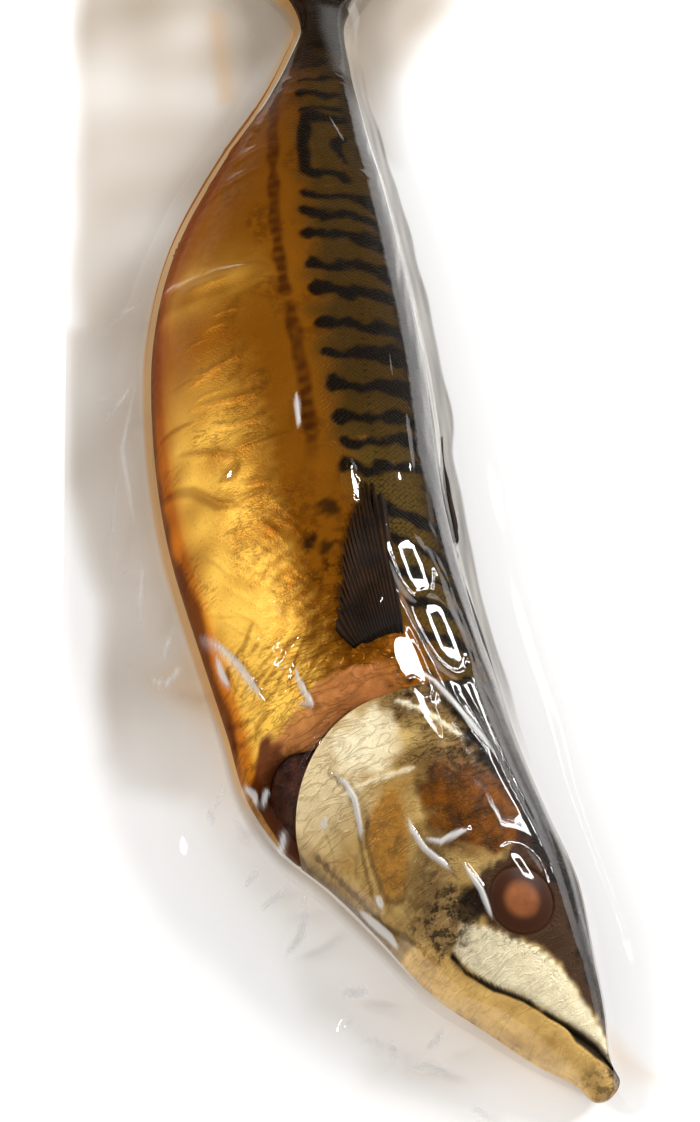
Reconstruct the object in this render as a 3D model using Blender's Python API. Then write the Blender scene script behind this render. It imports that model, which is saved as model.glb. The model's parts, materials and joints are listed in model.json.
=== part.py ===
# A whole smoked mackerel lying on its side in a flat clear vacuum pouch, as one closed solid: the fish's form
# under the tight film, with the empty film around it falling to the table.
# Row frame: Z up from the table, Y along the pouch towards the tail, X across it towards the fish's back,
# origin at the middle of the pouch's underside. Sizes below are in millimetres.

import bpy
import numpy as np

NODE = "sealed_smoked_mackerel"
POUCH_WIDTH = 130.0
POUCH_LENGTH = 380.0
FILM = 0.9
MARGIN_FALL = 19.0
SIDE_LIFT = 2.6

# The fish's middle line on the table, from the snout to the fork of the tail.
SPINE = [(43.5, -161), (25, -131), (7, -97), (-5, -57), (-10.5, 5), (-5, 70), (4.5, 122), (6, 165)]

# Along the middle line: half width to the back, half width to the belly, top height, height of the film's seam.
STATIONS = [0, 4, 12, 22, 35, 50, 62, 72, 82, 96, 115, 140, 165, 190, 215, 240, 262, 280, 297, 308, 322, 340]
TO_BACK = [3.4, 4, 8.7, 13.8, 19.8, 22.9, 25.2, 27, 28.7, 30.5, 32, 33.4, 34.3, 33, 29, 22.9, 15.8, 9.5, 6.5, 9.5, 18.5, 28]
TO_BELLY = [3.4, 4, 8.3, 12.6, 18.3, 21.3, 24.5, 29, 31, 30, 30.3, 32.5, 33.5, 33, 29.3, 21.3, 12.8, 8.8, 6.5, 9.5, 18.5, 28]
TOP = [9, 11, 17, 22, 27, 31, 33, 34.5, 35.7, 37, 38, 38.5, 38, 36.5, 33.5, 29, 24, 19.5, 17, 14, 9.5, 6]
SEAM = [8, 8.5, 10, 11.5, 13, 14.5, 15, 15, 15, 15, 15, 15, 15, 15, 14.5, 14, 13.5, 13, 12, 8.5, 4.5, 2.4]

GILL_EDGE = 84.3
GILL_SWEEP = 17.0
TAIL_ROOT = 297.0
FORK = 322.0
FORK_DEPTH = 18.0
EYE_AT = (36.7, 5.2)
EYE_RADIUS = 6.6
MOUTH = [(1.5, 2.6), (8.4, 1.1), (18.8, -3.7), (28.8, -10.5), (36.0, -12.4)]
FIN_ROOT = (94.0, 7.0)
FIN_TIP = (133.0, 12.5)
FIN_HALF_WIDTH = 6.5
# Two folds that cross the belly: each from one point to another, in millimetres from the snout and across.
BELLY_FOLDS = [((201.0, -31.0), (196.0, -6.0)), ((148.5, -31.0), (142.5, -13.0))]

HEAD_STEP = 2.7
FIN_STEP = 3.6
BODY_STEP = 5.4
COLUMNS = 23
MARGIN_STOPS = [0.12, 0.34, 0.64, 1.0]


def smooth(low, high, x):
    t = np.clip((x - low) / (high - low), 0.0, 1.0)
    return t * t * (3.0 - 2.0 * t)


def hermite(knots, values, at):
    """A smooth curve through the values at the knots, with slopes taken from their neighbours."""
    knots = np.asarray(knots, float)
    values = np.asarray(values, float)
    slopes = np.gradient(values, knots, axis=0)
    at = np.clip(at, knots[0], knots[-1])
    i = np.clip(np.searchsorted(knots, at, side="right") - 1, 0, len(knots) - 2)
    span = knots[i + 1] - knots[i]
    t = (at - knots[i]) / span
    if values.ndim > 1:
        span = span[..., None]
        t = t[..., None]
    start = values[i] * (1 + 2 * t) * (1 - t) ** 2 + slopes[i] * span * t * (1 - t) ** 2
    return start + values[i + 1] * t * t * (3 - 2 * t) + slopes[i + 1] * span * t * t * (t - 1)


def bump(distance, width):
    return np.exp(-((distance / width) ** 2))


def to_segment(a, b, start, end):
    """Distance from each point (a, b) to the segment, and how far along it the nearest point lies."""
    da = end[0] - start[0]
    db = end[1] - start[1]
    t = np.clip(((a - start[0]) * da + (b - start[1]) * db) / (da * da + db * db), 0.0, 1.0)
    return np.hypot(a - start[0] - t * da, b - start[1] - t * db), t


def middle_line():
    """The middle line measured along its own length: lengths and points, 1 mm or less apart."""
    points = np.array(SPINE, float)
    chords = np.concatenate([[0], np.cumsum(np.linalg.norm(np.diff(points, axis=0), axis=1))])
    fine = hermite(chords, points, np.linspace(0, chords[-1], 1200))
    lengths = np.concatenate([[0], np.cumsum(np.linalg.norm(np.diff(fine, axis=0), axis=1))])
    return lengths, fine


def gill_line(v):
    """How far from the snout the gill cover's rear edge lies. It sweeps forward towards the throat."""
    return GILL_EDGE - np.where(v < 0, GILL_SWEEP * np.abs(v) ** 2.2, 3.0 * v**2)


def grid_lines():
    """The fish's grid: distance from the snout, and share of the half width, for each row and column."""
    head = np.arange(0.0, GILL_EDGE, HEAD_STEP)
    fin = np.arange(GILL_EDGE, 140.0, FIN_STEP)
    body = np.arange(fin[-1] + BODY_STEP, FORK - 2.0, BODY_STEP)
    u = np.concatenate([head, fin, [GILL_EDGE + 1.3], body, [FORK]])
    u = np.sort(u[np.append(np.diff(np.sort(u)) > 1.0, True)])
    t = np.linspace(-1, 1, COLUMNS)
    v = np.sin(0.43 * np.pi * t) / np.sin(0.43 * np.pi)
    u, v = np.meshgrid(u, v, indexing="ij")
    s = u + 4.0 * np.abs(v) ** 2.2 * (1 - smooth(0, 24, u))
    s = s + (gill_line(v) - GILL_EDGE) * (smooth(30, GILL_EDGE, u) - smooth(GILL_EDGE, 140, u))
    s = s + FORK_DEPTH * np.abs(v) ** 1.3 * smooth(TAIL_ROOT - 25, FORK, u)
    return s, v


def plan(s, v, lengths, line):
    """Points on the table, and the distance across the fish, for each distance along it and share across it."""
    width = np.where(v > 0, hermite(STATIONS, TO_BACK, s), hermite(STATIONS, TO_BELLY, s))
    b = v * width
    x = np.interp(s, lengths, line[:, 0])
    y = np.interp(s, lengths, line[:, 1])
    dx = np.interp(s + 1, lengths, line[:, 0]) - np.interp(s - 1, lengths, line[:, 0])
    dy = np.interp(s + 1, lengths, line[:, 1]) - np.interp(s - 1, lengths, line[:, 1])
    length = np.hypot(dx, dy)
    return x + b * dy / length, y - b * dx / length, b


def relief(s, v, b):
    """What stands out from or sinks into the smooth flank, in millimetres."""
    behind = s - gill_line(v)
    belly = smooth(0.35, -0.15, v)
    edge_on = smooth(0.75, 0.2, v)
    gap = 2.2 + 10.0 * np.clip(-v, 0, 1) ** 1.8
    cover = 1.0 * np.exp(-np.clip(-behind, 0, None) / 7.0) * (behind <= 0.2)
    collar = -2.6 * smooth(0.0, 1.2, behind) * (1 - smooth(gap, gap + 2.5, behind))
    roll = 1.0 * bump(behind - gap - 4.5, 2.6)
    out = edge_on * cover + belly * collar + belly * roll

    eye = np.hypot(s - EYE_AT[0], b - EYE_AT[1])
    out = out + 1.3 * bump(eye, EYE_RADIUS) - 0.5 * bump(eye - 9.5, 2.0)

    mouth = np.min([to_segment(s, b, p, q)[0] for p, q in zip(MOUTH[:-1], MOUTH[1:])], axis=0)
    out = out - 1.0 * bump(mouth, 1.6)

    across, along = to_segment(s, b, FIN_ROOT, FIN_TIP)
    fin = FIN_HALF_WIDTH * (1 - 0.75 * along**2)
    out = out + 0.9 * (1 - smooth(fin - 1.5, fin + 0.8, across))

    for start, end in BELLY_FOLDS:
        out = out + 0.9 * bump(to_segment(s, b, start, end)[0], 3.0)

    rays = smooth(TAIL_ROOT + 6, FORK, s) * np.cos(np.pi * np.arange(COLUMNS))[None, :]
    return (out + 0.35 * rays) * smooth(1.0, 0.93, np.abs(v))


def fish_heights(s, v, b):
    seam = hermite(STATIONS, SEAM, s)
    top = hermite(STATIONS, TOP, s)
    dorsal = (1 - np.abs(v) ** 2.3) ** 0.5
    ventral = (1 - v**2) ** 0.62
    across = np.where(v > 0, dorsal, ventral)
    # The snout and the tail's edge are rounded off like the sides.
    ends = smooth(-0.2, 14.0, s - 4.0 * np.abs(v) ** 2.2)
    upper = seam + FILM / 2 + (top - seam) * across + relief(s, v, b) * ends
    belly = np.clip(1 - np.clip(1 - s / 26.0, 0, 1) ** 3, 0, 1) ** 0.5 * (1 - np.abs(v) ** 3) ** 0.5
    lower = np.maximum(0.0, SIDE_LIFT * seam / max(SEAM) * (1 - 1.12 * belly))
    return upper, lower, seam


def outline_loop(grid):
    """The grid's outer points in order: across the snout, up the back, across the tail, down the belly."""
    return np.concatenate([grid[0, :], grid[1:, -1], grid[-1, -2::-1], grid[-2:0:-1, 0]])


def pouch_points(loop_xy, rows, lengths_at):
    """For each point of the fish's outline, its partner on the pouch's edge, spread evenly between the corners."""
    count = len(loop_xy)
    half = np.array([POUCH_WIDTH / 2, POUCH_LENGTH / 2])
    corners = [half * (1, -1), half * (1, 1), half * (-1, 1), half * (-1, -1)]
    back = COLUMNS - 1
    # Partners of the corners: just above the tip of the snout, both lobes of the tail, and under the jaw.
    anchors = [back // 2 + 2, back + rows - 2, 2 * back + rows]
    anchors.append(count - int(np.argmin(np.abs(lengths_at - 28.0))))
    step = np.linalg.norm(np.roll(loop_xy, -1, axis=0) - loop_xy, axis=1)
    partner = np.zeros((count, 2))
    for k in range(4):
        first = anchors[k]
        last = anchors[(k + 1) % 4] + (count if k == 3 else 0)
        ids = np.arange(first, last + 1) % count
        share = np.concatenate([[0], np.cumsum(step[ids[:-1]])])
        share = (share / share[-1])[:, None]
        partner[ids] = corners[k] * (1 - share) + corners[(k + 1) % 4] * share
    return partner


def build_mesh():
    lengths, line = middle_line()
    s, v = grid_lines()
    x, y, b = plan(s, v, lengths, line)
    upper, lower, seam = fish_heights(s, v, b)
    rows = s.shape[0]
    index = np.arange(s.size).reshape(s.shape)
    loop = outline_loop(index)
    flat_xy = np.stack([x.ravel(), y.ravel()], 1)
    inner = flat_xy[loop]
    outer = pouch_points(inner, rows, s[:, 0])
    seam_loop = seam.ravel()[loop]
    reach = np.linalg.norm(outer - inner, axis=1)

    # The film between the fish and the pouch's edge: rings of points, falling to the table, with folds.
    count = len(loop)
    edge = np.cumsum(np.linalg.norm(outer - np.roll(outer, 1, axis=0), axis=1))
    turn = 2 * np.pi * edge / edge[-1]
    folds = 0.6 * np.sin(19 * turn) + 0.5 * np.sin(33 * turn + 1.3) + 1.1
    lift = lower.ravel()[loop]
    rings_xy = []
    rings_low = []
    rings_top = []
    for stop in MARGIN_STOPS:
        left = 1 - np.minimum(1.0, stop * reach / np.minimum(MARGIN_FALL, reach * 0.95))
        low = lift * left + folds * np.sin(np.pi * stop)
        rings_xy.append(inner + (outer - inner) * stop)
        rings_low.append(low)
        rings_top.append(low + FILM + (seam_loop - lift - FILM / 2) * left**2.4)
    ring_xy = np.concatenate(rings_xy)
    ring_low = np.concatenate(rings_low)
    ring_top = np.concatenate(rings_top)

    plan_xy = np.concatenate([flat_xy, ring_xy])
    top_z = np.concatenate([upper.ravel(), ring_top])
    low_z = np.concatenate([lower.ravel(), ring_low])
    points = np.concatenate([np.column_stack([plan_xy, top_z]), np.column_stack([plan_xy, low_z])])

    faces = []
    quads = np.stack([index[:-1, :-1], index[:-1, 1:], index[1:, 1:], index[1:, :-1]], -1).reshape(-1, 4)
    faces.append(quads)
    before = loop
    for k in range(len(MARGIN_STOPS)):
        after = s.size + k * count + np.arange(count)
        faces.append(np.stack([before, after, np.roll(after, -1), np.roll(before, -1)], -1))
        before = after
    sheet = np.concatenate(faces)
    # Both sheets are split into triangles along the same diagonals, so the film keeps its thickness.
    split = np.concatenate([sheet[:, [0, 1, 2]], sheet[:, [0, 2, 3]]])
    other = len(plan_xy)
    rim = np.stack([before, before + other, np.roll(before, -1) + other, np.roll(before, -1)], -1)
    rim = np.concatenate([rim[:, [0, 1, 2]], rim[:, [0, 2, 3]]])
    triangles = np.concatenate([split, split[:, ::-1] + other, rim])
    return points, triangles


def main():
    for old in list(bpy.data.objects):
        bpy.data.objects.remove(old, do_unlink=True)
    points, triangles = build_mesh()
    mesh = bpy.data.meshes.new(NODE)
    mesh.from_pydata((points * 0.001).tolist(), [], triangles.tolist())
    mesh.update()
    film = bpy.data.materials.new("clear_film")
    film.use_nodes = True
    shader = film.node_tree.nodes["Principled BSDF"]
    shader.inputs["Base Color"].default_value = (0.55, 0.33, 0.08, 1.0)
    shader.inputs["Roughness"].default_value = 0.15
    mesh.materials.append(film)
    pack = bpy.data.objects.new(NODE, mesh)
    bpy.context.scene.collection.objects.link(pack)


main()
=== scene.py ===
import json

import bpy
import numpy as np
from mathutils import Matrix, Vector

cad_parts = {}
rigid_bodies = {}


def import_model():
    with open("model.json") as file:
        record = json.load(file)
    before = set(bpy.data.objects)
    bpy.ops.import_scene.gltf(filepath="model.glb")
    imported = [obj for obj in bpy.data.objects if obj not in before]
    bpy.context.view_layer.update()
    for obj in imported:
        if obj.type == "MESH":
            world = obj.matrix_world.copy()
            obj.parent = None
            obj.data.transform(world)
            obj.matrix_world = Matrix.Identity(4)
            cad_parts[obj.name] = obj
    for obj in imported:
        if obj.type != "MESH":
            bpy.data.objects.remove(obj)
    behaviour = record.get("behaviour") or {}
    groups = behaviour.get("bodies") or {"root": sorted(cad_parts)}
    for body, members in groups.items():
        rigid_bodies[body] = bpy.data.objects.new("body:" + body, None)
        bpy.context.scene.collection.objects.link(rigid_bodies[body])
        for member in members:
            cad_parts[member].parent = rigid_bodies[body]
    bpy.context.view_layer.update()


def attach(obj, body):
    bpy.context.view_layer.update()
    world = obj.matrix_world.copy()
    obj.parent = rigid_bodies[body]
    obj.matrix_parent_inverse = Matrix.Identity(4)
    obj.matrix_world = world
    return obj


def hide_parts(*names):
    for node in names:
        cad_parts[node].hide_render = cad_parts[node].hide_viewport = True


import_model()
print("frame loaded: sealed smoked mackerel")

# Lengths here are in millimetres until a mesh is made. s runs from the snout along the fish's middle line, and b
# across it, plus towards the back. v is b as a share of the half width.

fish = {
    "spine": [(43.5, -161), (25, -131), (7, -97), (-5, -57), (-10.5, 5), (-5, 70), (4.5, 122), (6, 165)],
    "stations": [0, 4, 12, 22, 35, 50, 62, 72, 82, 96, 115, 140, 165, 190, 215, 240, 262, 280, 297, 308, 322, 340],
    "toBack": [
        3.4, 4, 8.7, 13.8, 19.8, 22.9, 25.2, 27, 28.7, 30.5, 32, 33.4, 34.3, 33, 29, 22.9, 15.8, 9.5, 6.5, 9.5,
        18.5, 28,
    ],
    "toBelly": [
        3.4, 4, 8.3, 12.6, 18.3, 21.3, 24.5, 29, 31, 30, 30.3, 32.5, 33.5, 33, 29.3, 21.3, 12.8, 8.8, 6.5, 9.5,
        18.5, 28,
    ],
    "top": [9, 11, 17, 22, 27, 31, 33, 34.5, 35.7, 37, 38, 38.5, 38, 36.5, 33.5, 29, 24, 19.5, 17, 14, 9.5, 6],
    "seam": [8, 8.5, 10, 11.5, 13, 14.5, 15, 15, 15, 15, 15, 15, 15, 15, 14.5, 14, 13.5, 13, 12, 8.5, 4.5, 2.4],
    "gillEdge": 84.3,
    "gillSweep": 17.0,
    "eye": (36.7, 5.2),
}


def smooth(low, high, x):  # 0 below low, 1 above high, an S-shaped ramp between
    t = np.clip((x - low) / (high - low), 0.0, 1.0)
    return t * t * (3.0 - 2.0 * t)


def curveThrough(knots, values, at):  # cubic through the values, its slopes taken from the neighbouring knots
    knots = np.asarray(knots, float)
    values = np.asarray(values, float)
    slopes = np.gradient(values, knots, axis=0)
    at = np.clip(at, knots[0], knots[-1])
    i = np.clip(np.searchsorted(knots, at, side="right") - 1, 0, len(knots) - 2)
    span = knots[i + 1] - knots[i]
    t = (at - knots[i]) / span
    if values.ndim > 1:
        span = span[..., None]
        t = t[..., None]
    rise = values[i] * (1 + 2 * t) * (1 - t) ** 2 + slopes[i] * span * t * (1 - t) ** 2
    return rise + values[i + 1] * t * t * (3 - 2 * t) + slopes[i + 1] * span * t * t * (t - 1)


def bump(distance, width):  # bell shape: one at no distance, near nothing at twice the width
    return np.exp(-((distance / width) ** 2))


def segmentDistance(
    a, b, start, end,
):  # distance to the nearest point of a segment, and that point's share along it
    da = end[0] - start[0]
    db = end[1] - start[1]
    t = np.clip(((a - start[0]) * da + (b - start[1]) * db) / (da * da + db * db), 0.0, 1.0)
    return np.hypot(a - start[0] - t * da, b - start[1] - t * db), t


def lineDistance(a, b, points):  # least distance to a line of several points
    return np.min([segmentDistance(a, b, p, q)[0] for p, q in zip(points[:-1], points[1:])], axis=0)


def alongLine(a, b, points):  # least distance to a line of several points, and how far along it that place lies
    best, share = np.full(np.shape(a), 1e9), np.zeros(np.shape(a))
    for k in range(len(points) - 1):
        distance, part = segmentDistance(a, b, points[k], points[k + 1])
        share = np.where(distance < best, (k + part) / (len(points) - 1), share)
        best = np.minimum(best, distance)
    return best, share


def insideShape(a, b, points, edge):  # one inside a closed outline, nothing outside, with a soft edge
    distance = lineDistance(a, b, points + points[:1])
    inside = np.zeros(np.shape(a), bool)
    for p, q in zip(points, points[1:] + points[:1]):
        crosses = (p[1] > b) != (q[1] > b)
        reach = (q[0] - p[0]) * (b - p[1]) / np.where(q[1] == p[1], 1e-9, q[1] - p[1]) + p[0]
        inside ^= crosses & (a < reach)
    return smooth(-edge, edge, np.where(inside, distance, -distance))


def most(*masks):  # the largest of several masks at each point
    return np.maximum.reduce(masks)


def onLine(
    a, b, points, low, high, jitter=0.0,
):  # one on a line of several points, nothing from the high distance on
    return 1 - smooth(low, high, lineDistance(a, b, points) + jitter)


def softField(a, b, size, seed, count=9):  # sum of sines in seeded directions: smooth and random, about -1 to 1
    draw = np.random.default_rng(seed)
    total = np.zeros(np.shape(a))
    angles = draw.uniform(0, np.pi, count)
    stretches = draw.uniform(0.6, 1.7, count)
    phases = draw.uniform(0, 6.3, count)
    for angle, stretch, phase in zip(angles, stretches, phases):
        total = total + np.sin((a * np.cos(angle) + b * np.sin(angle)) * 2 * np.pi * stretch / size + phase)
    return total / np.sqrt(count)


def ridges(a, b, angle, pitch, wander, seed):  # thin crests side by side along the angle, pulled about by a field
    across = -a * np.sin(angle) + b * np.cos(angle)
    phase = across / pitch + 0.45 * softField(a, b, wander, seed)
    return (1 - np.abs(np.sin(np.pi * phase))) ** 3


def measureSpine():  # the middle line and its length from the snout, in steps under a millimetre
    points = np.array(fish["spine"], float)
    chords = np.concatenate([[0], np.cumsum(np.linalg.norm(np.diff(points, axis=0), axis=1))])
    fine = curveThrough(chords, points, np.linspace(0, chords[-1], 1200))
    return np.concatenate([[0], np.cumsum(np.linalg.norm(np.diff(fine, axis=0), axis=1))]), fine


spineLength, spinePoint = measureSpine()


def spineAt(s):  # the middle line, carried on straight past both its ends
    over = s - np.clip(s, 0, spineLength[-1])
    tailRun = spineLength[-1] - spineLength[-20]
    way = np.where(over > 0, 1, 0)[..., None] * (spinePoint[-1] - spinePoint[-20]) / tailRun
    way = way + np.where(over < 0, 1, 0)[..., None] * (spinePoint[19] - spinePoint[0]) / spineLength[19]
    x = np.interp(s, spineLength, spinePoint[:, 0]) + over * way[..., 0]
    y = np.interp(s, spineLength, spinePoint[:, 1]) + over * way[..., 1]
    return x, y


def onTable(s, b):  # the spine's point at s, moved by b at right angles to it
    x, y = spineAt(s)
    xAhead, yAhead = spineAt(s + 1)
    xBehind, yBehind = spineAt(s - 1)
    dx = xAhead - xBehind
    dy = yAhead - yBehind
    length = np.hypot(dx, dy)
    return x + b * dy / length, y - b * dx / length


def placed(s, b, z):  # points in space from places on the fish and their heights
    x, y = onTable(s, b)
    return np.stack([x, y, z], -1)


def station(name, s):
    return curveThrough(fish["stations"], fish[name], s)


def gillLine(v):  # the gill cover's rear edge, which sweeps forward towards the throat
    return fish["gillEdge"] - np.where(v < 0, fish["gillSweep"] * np.abs(v) ** 2.2, 3.0 * v**2)


def gapBehind(v):  # how far behind the gill cover the body's front rim lies; at the throat the two meet again
    opening = 1.6 * smooth(0.10, -0.25, v) + 9.4 * smooth(-0.45, -0.86, v)
    return 0.9 + opening * (1 - smooth(-0.955, -1.0, v))


# Folds of the film that also press into the skin: a line of (s, b) points, height and half width.
pressedFolds = [
    ([(196.8, -33.0), (194.6, -24.4), (194.4, -14.8), (195.4, -9.3), (196.8, -2.8)], 1.0, 1.9),
    ([(149.5, -33.0), (143.8, -24.2), (137.5, -18.7), (134.9, -13.6)], 0.50, 1.0),
    ([(154.5, -28.0), (151.0, -20.0), (147.3, -14.3), (145.3, -13.4)], 0.40, 0.9),
    ([(145.3, -13.2), (143.3, -14.6), (142.6, -18.2)], 0.7, 0.8),
    ([(170.6, -29.0), (170.1, -18.4), (171.6, -11.2), (173.5, -8.5)], 0.42, 0.45),
    ([(165.1, -9.5), (166.6, -3.7)], 0.36, 0.42),
    ([(162.6, -22.5), (161.1, -13.8), (160.6, -7.3), (162.1, -5.5)], 0.42, 0.45),
    ([(160.9, -31.2), (160.6, -27.6), (159.2, -20.6)], 0.45, 0.48),
    ([(155.7, -18.0), (154.2, -11.0), (154.4, -6.0)], 0.38, 0.42),
    ([(148.3, -15.0), (148.7, -9.0), (150.2, 0.42)], 0.46, 0.45),
    ([(144.6, 1.8), (145.8, 8.8), (147.8, 16.6)], 0.50, 0.42),
    ([(139.8, -13.6), (138.8, -6.0)], 0.38, 0.42),
    ([(136.4, -15.5), (136.8, -8.6)], 0.38, 0.42),
    ([(251.1, -21.8), (258.4, -16.5), (257.5, -10.1)], 0.35, 0.42),
    ([(243.3, -23.4), (245.9, -15.5), (247.2, -8.5)], 0.35, 0.42),
    ([(235.2, -25.0), (233.9, -15.1), (238.6, -7.5)], 0.40, 0.48),
    ([(221.5, -24.2), (226.2, -15.5), (230.5, -6.7)], 0.35, 0.48),
    ([(185.4, -1.7), (176.4, 1.3), (160.9, 1.7), (148.9, 1.0)], 0.30, 0.48),
    ([(100.0, -30.5), (96.0, -28.0), (93.0, -23.0)], 0.5, 0.48),
    ([(95.0, -31.0), (91.0, -27.0), (90.0, -22.0)], 0.5, 0.48),
    ([(203.8, -6.0), (208.2, 2.5)], 0.35, 0.48),
    ([(194.4, -10.2), (192.4, 2.5)], 0.35, 0.48),
]


def strewn(count, box, angle, spread, length, height, width, seed):
    # Short bent lines over a box of the skin: each has its own start, direction, length and height.
    draw = np.random.default_rng(seed)
    made = []
    for _ in range(count):
        a = draw.uniform(box[0], box[1])
        b = draw.uniform(box[2], box[3])
        way = angle + draw.normal(0, spread)
        reach = length * draw.uniform(0.5, 1.5)
        bend = draw.normal(0, 0.25)
        mid = (a + 0.5 * reach * np.cos(way), b + 0.5 * reach * np.sin(way))
        end = (mid[0] + 0.5 * reach * np.cos(way + bend), mid[1] + 0.5 * reach * np.sin(way + bend))
        made.append(([(a, b), mid, end], height * draw.uniform(0.5, 1.3), width * draw.uniform(0.8, 1.3)))
    return made


# Families of fine creases on the belly: across it, along the flow to the fin, and crumpled behind the gill.
pressedFolds += strewn(14, (150, 192, -28, -2), 1.30, 0.16, 8.0, 0.20, 0.42, 81)
pressedFolds += strewn(46, (99, 136, -27, -5), 2.50, 0.12, 10.0, 0.20, 0.42, 82)
pressedFolds += strewn(70, (90, 106, -26, 6), 0.95, 0.50, 6.0, 0.34, 0.50, 83)
pressedFolds += strewn(22, (205, 285, -14, 8), 1.30, 0.2, 9.0, 0.20, 0.45, 84)


def creaseHeight(a, b, creases):
    # Each crease is a small tent: highest on its line, falling off on both sides and towards its ends. Crossing
    # creases don't add up.
    total = np.zeros(np.shape(a))
    for points, height, width in creases:
        lowA = min(p[0] for p in points) - 4 * width
        highA = max(p[0] for p in points) + 4 * width
        lowB = min(p[1] for p in points) - 4 * width
        highB = max(p[1] for p in points) + 4 * width
        near = (a > lowA) & (a < highA) & (b > lowB) & (b < highB)
        distance, share = alongLine(a[near], b[near], points)
        ends = np.clip(4 * share * (1 - share) + 0.05, 0, 1) ** 0.6
        here = height * ends * np.exp(-np.sqrt((distance / width) ** 2 + 0.15) + 0.387)
        total[near] = np.where(height > 0, np.maximum(total[near], here), total[near] + here)
    return total


def pressedHeight(a, b):
    return creaseHeight(a, b, pressedFolds)


def makeMesh(name, points, faces):
    mesh = bpy.data.meshes.new(name)
    mesh.vertices.add(len(points))
    mesh.vertices.foreach_set("co", (np.asarray(points, float) * 0.001).astype(np.float32).ravel())
    corners = np.concatenate([group.ravel() for group in faces]).astype(np.int32)
    sizes = np.concatenate([np.full(len(group), group.shape[1]) for group in faces])
    starts = np.concatenate([[0], np.cumsum(sizes)[:-1]]).astype(np.int32)
    mesh.loops.add(len(corners))
    mesh.loops.foreach_set("vertex_index", corners)
    mesh.polygons.add(len(sizes))
    mesh.polygons.foreach_set("loop_start", starts)
    mesh.update(calc_edges=True)
    mesh.validate()
    mesh.polygons.foreach_set("use_smooth", np.full(len(mesh.polygons), True))
    return mesh


def gridFaces(rows, columns, around=False):  # quads of a grid, counter-clockwise seen from outside
    index = np.arange(rows * columns).reshape(rows, columns)
    nextAcross = np.roll(index, -1, axis=1) if around else index
    left = index if around else index[:, :-1]
    right = nextAcross if around else index[:, 1:]
    return np.stack([left[:-1], left[1:], right[1:], right[:-1]], -1).reshape(-1, 4)


def addPiece(name, mesh, material):
    piece = bpy.data.objects.new(name, mesh)
    bpy.context.scene.collection.objects.link(piece)
    mesh.materials.append(material)
    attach(piece, "root")
    return piece


def putAttribute(mesh, name, values):
    layer = mesh.attributes.new(name, "FLOAT", "POINT")
    layer.data.foreach_set("value", np.ascontiguousarray(values, np.float32).ravel())


def putAttributes(mesh, values, spare=0):  # the spare last points, which close a tube's ends, get nothing
    for name, value in values.items():
        putAttribute(mesh, name, np.append(value, np.zeros(spare)))


def putUv(mesh, u, w):
    corner = np.zeros(len(mesh.loops), np.int32)
    mesh.loops.foreach_get("vertex_index", corner)
    layer = mesh.uv_layers.new(name="alongSkin")
    layer.data.foreach_set("uv", np.stack([u.ravel()[corner], w.ravel()[corner]], -1).astype(np.float32).ravel())


def turnOutward(mesh):  # a closed mesh whose signed volume is negative is inside out, and is turned
    points = np.zeros(len(mesh.vertices) * 3, np.float32)
    mesh.vertices.foreach_get("co", points)
    points = points.reshape(-1, 3).astype(float)
    mesh.calc_loop_triangles()
    corner = np.zeros(len(mesh.loop_triangles) * 3, np.int32)
    mesh.loop_triangles.foreach_get("vertices", corner)
    a, b, c = points[corner.reshape(-1, 3)].transpose(1, 0, 2)
    if np.einsum("ij,ij->i", a, np.cross(b, c)).sum() < 0:
        mesh.flip_normals()


def closedTube(name, grid):  # a mesh of a grid wrapped round into a tube, each end closed on one point
    rows, around = grid.shape[:2]
    points = np.concatenate([grid.reshape(-1, 3), [grid[0].mean(0), grid[-1].mean(0)]])
    ring = np.arange(around)
    last = (rows - 1) * around + ring
    front = np.stack([np.full(around, rows * around), ring, np.roll(ring, -1)], -1)
    rear = np.stack([np.full(around, rows * around + 1), np.roll(last, -1), last], -1)
    return makeMesh(name, points, [gridFaces(rows, around, around=True), front, rear])


# Materials

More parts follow.
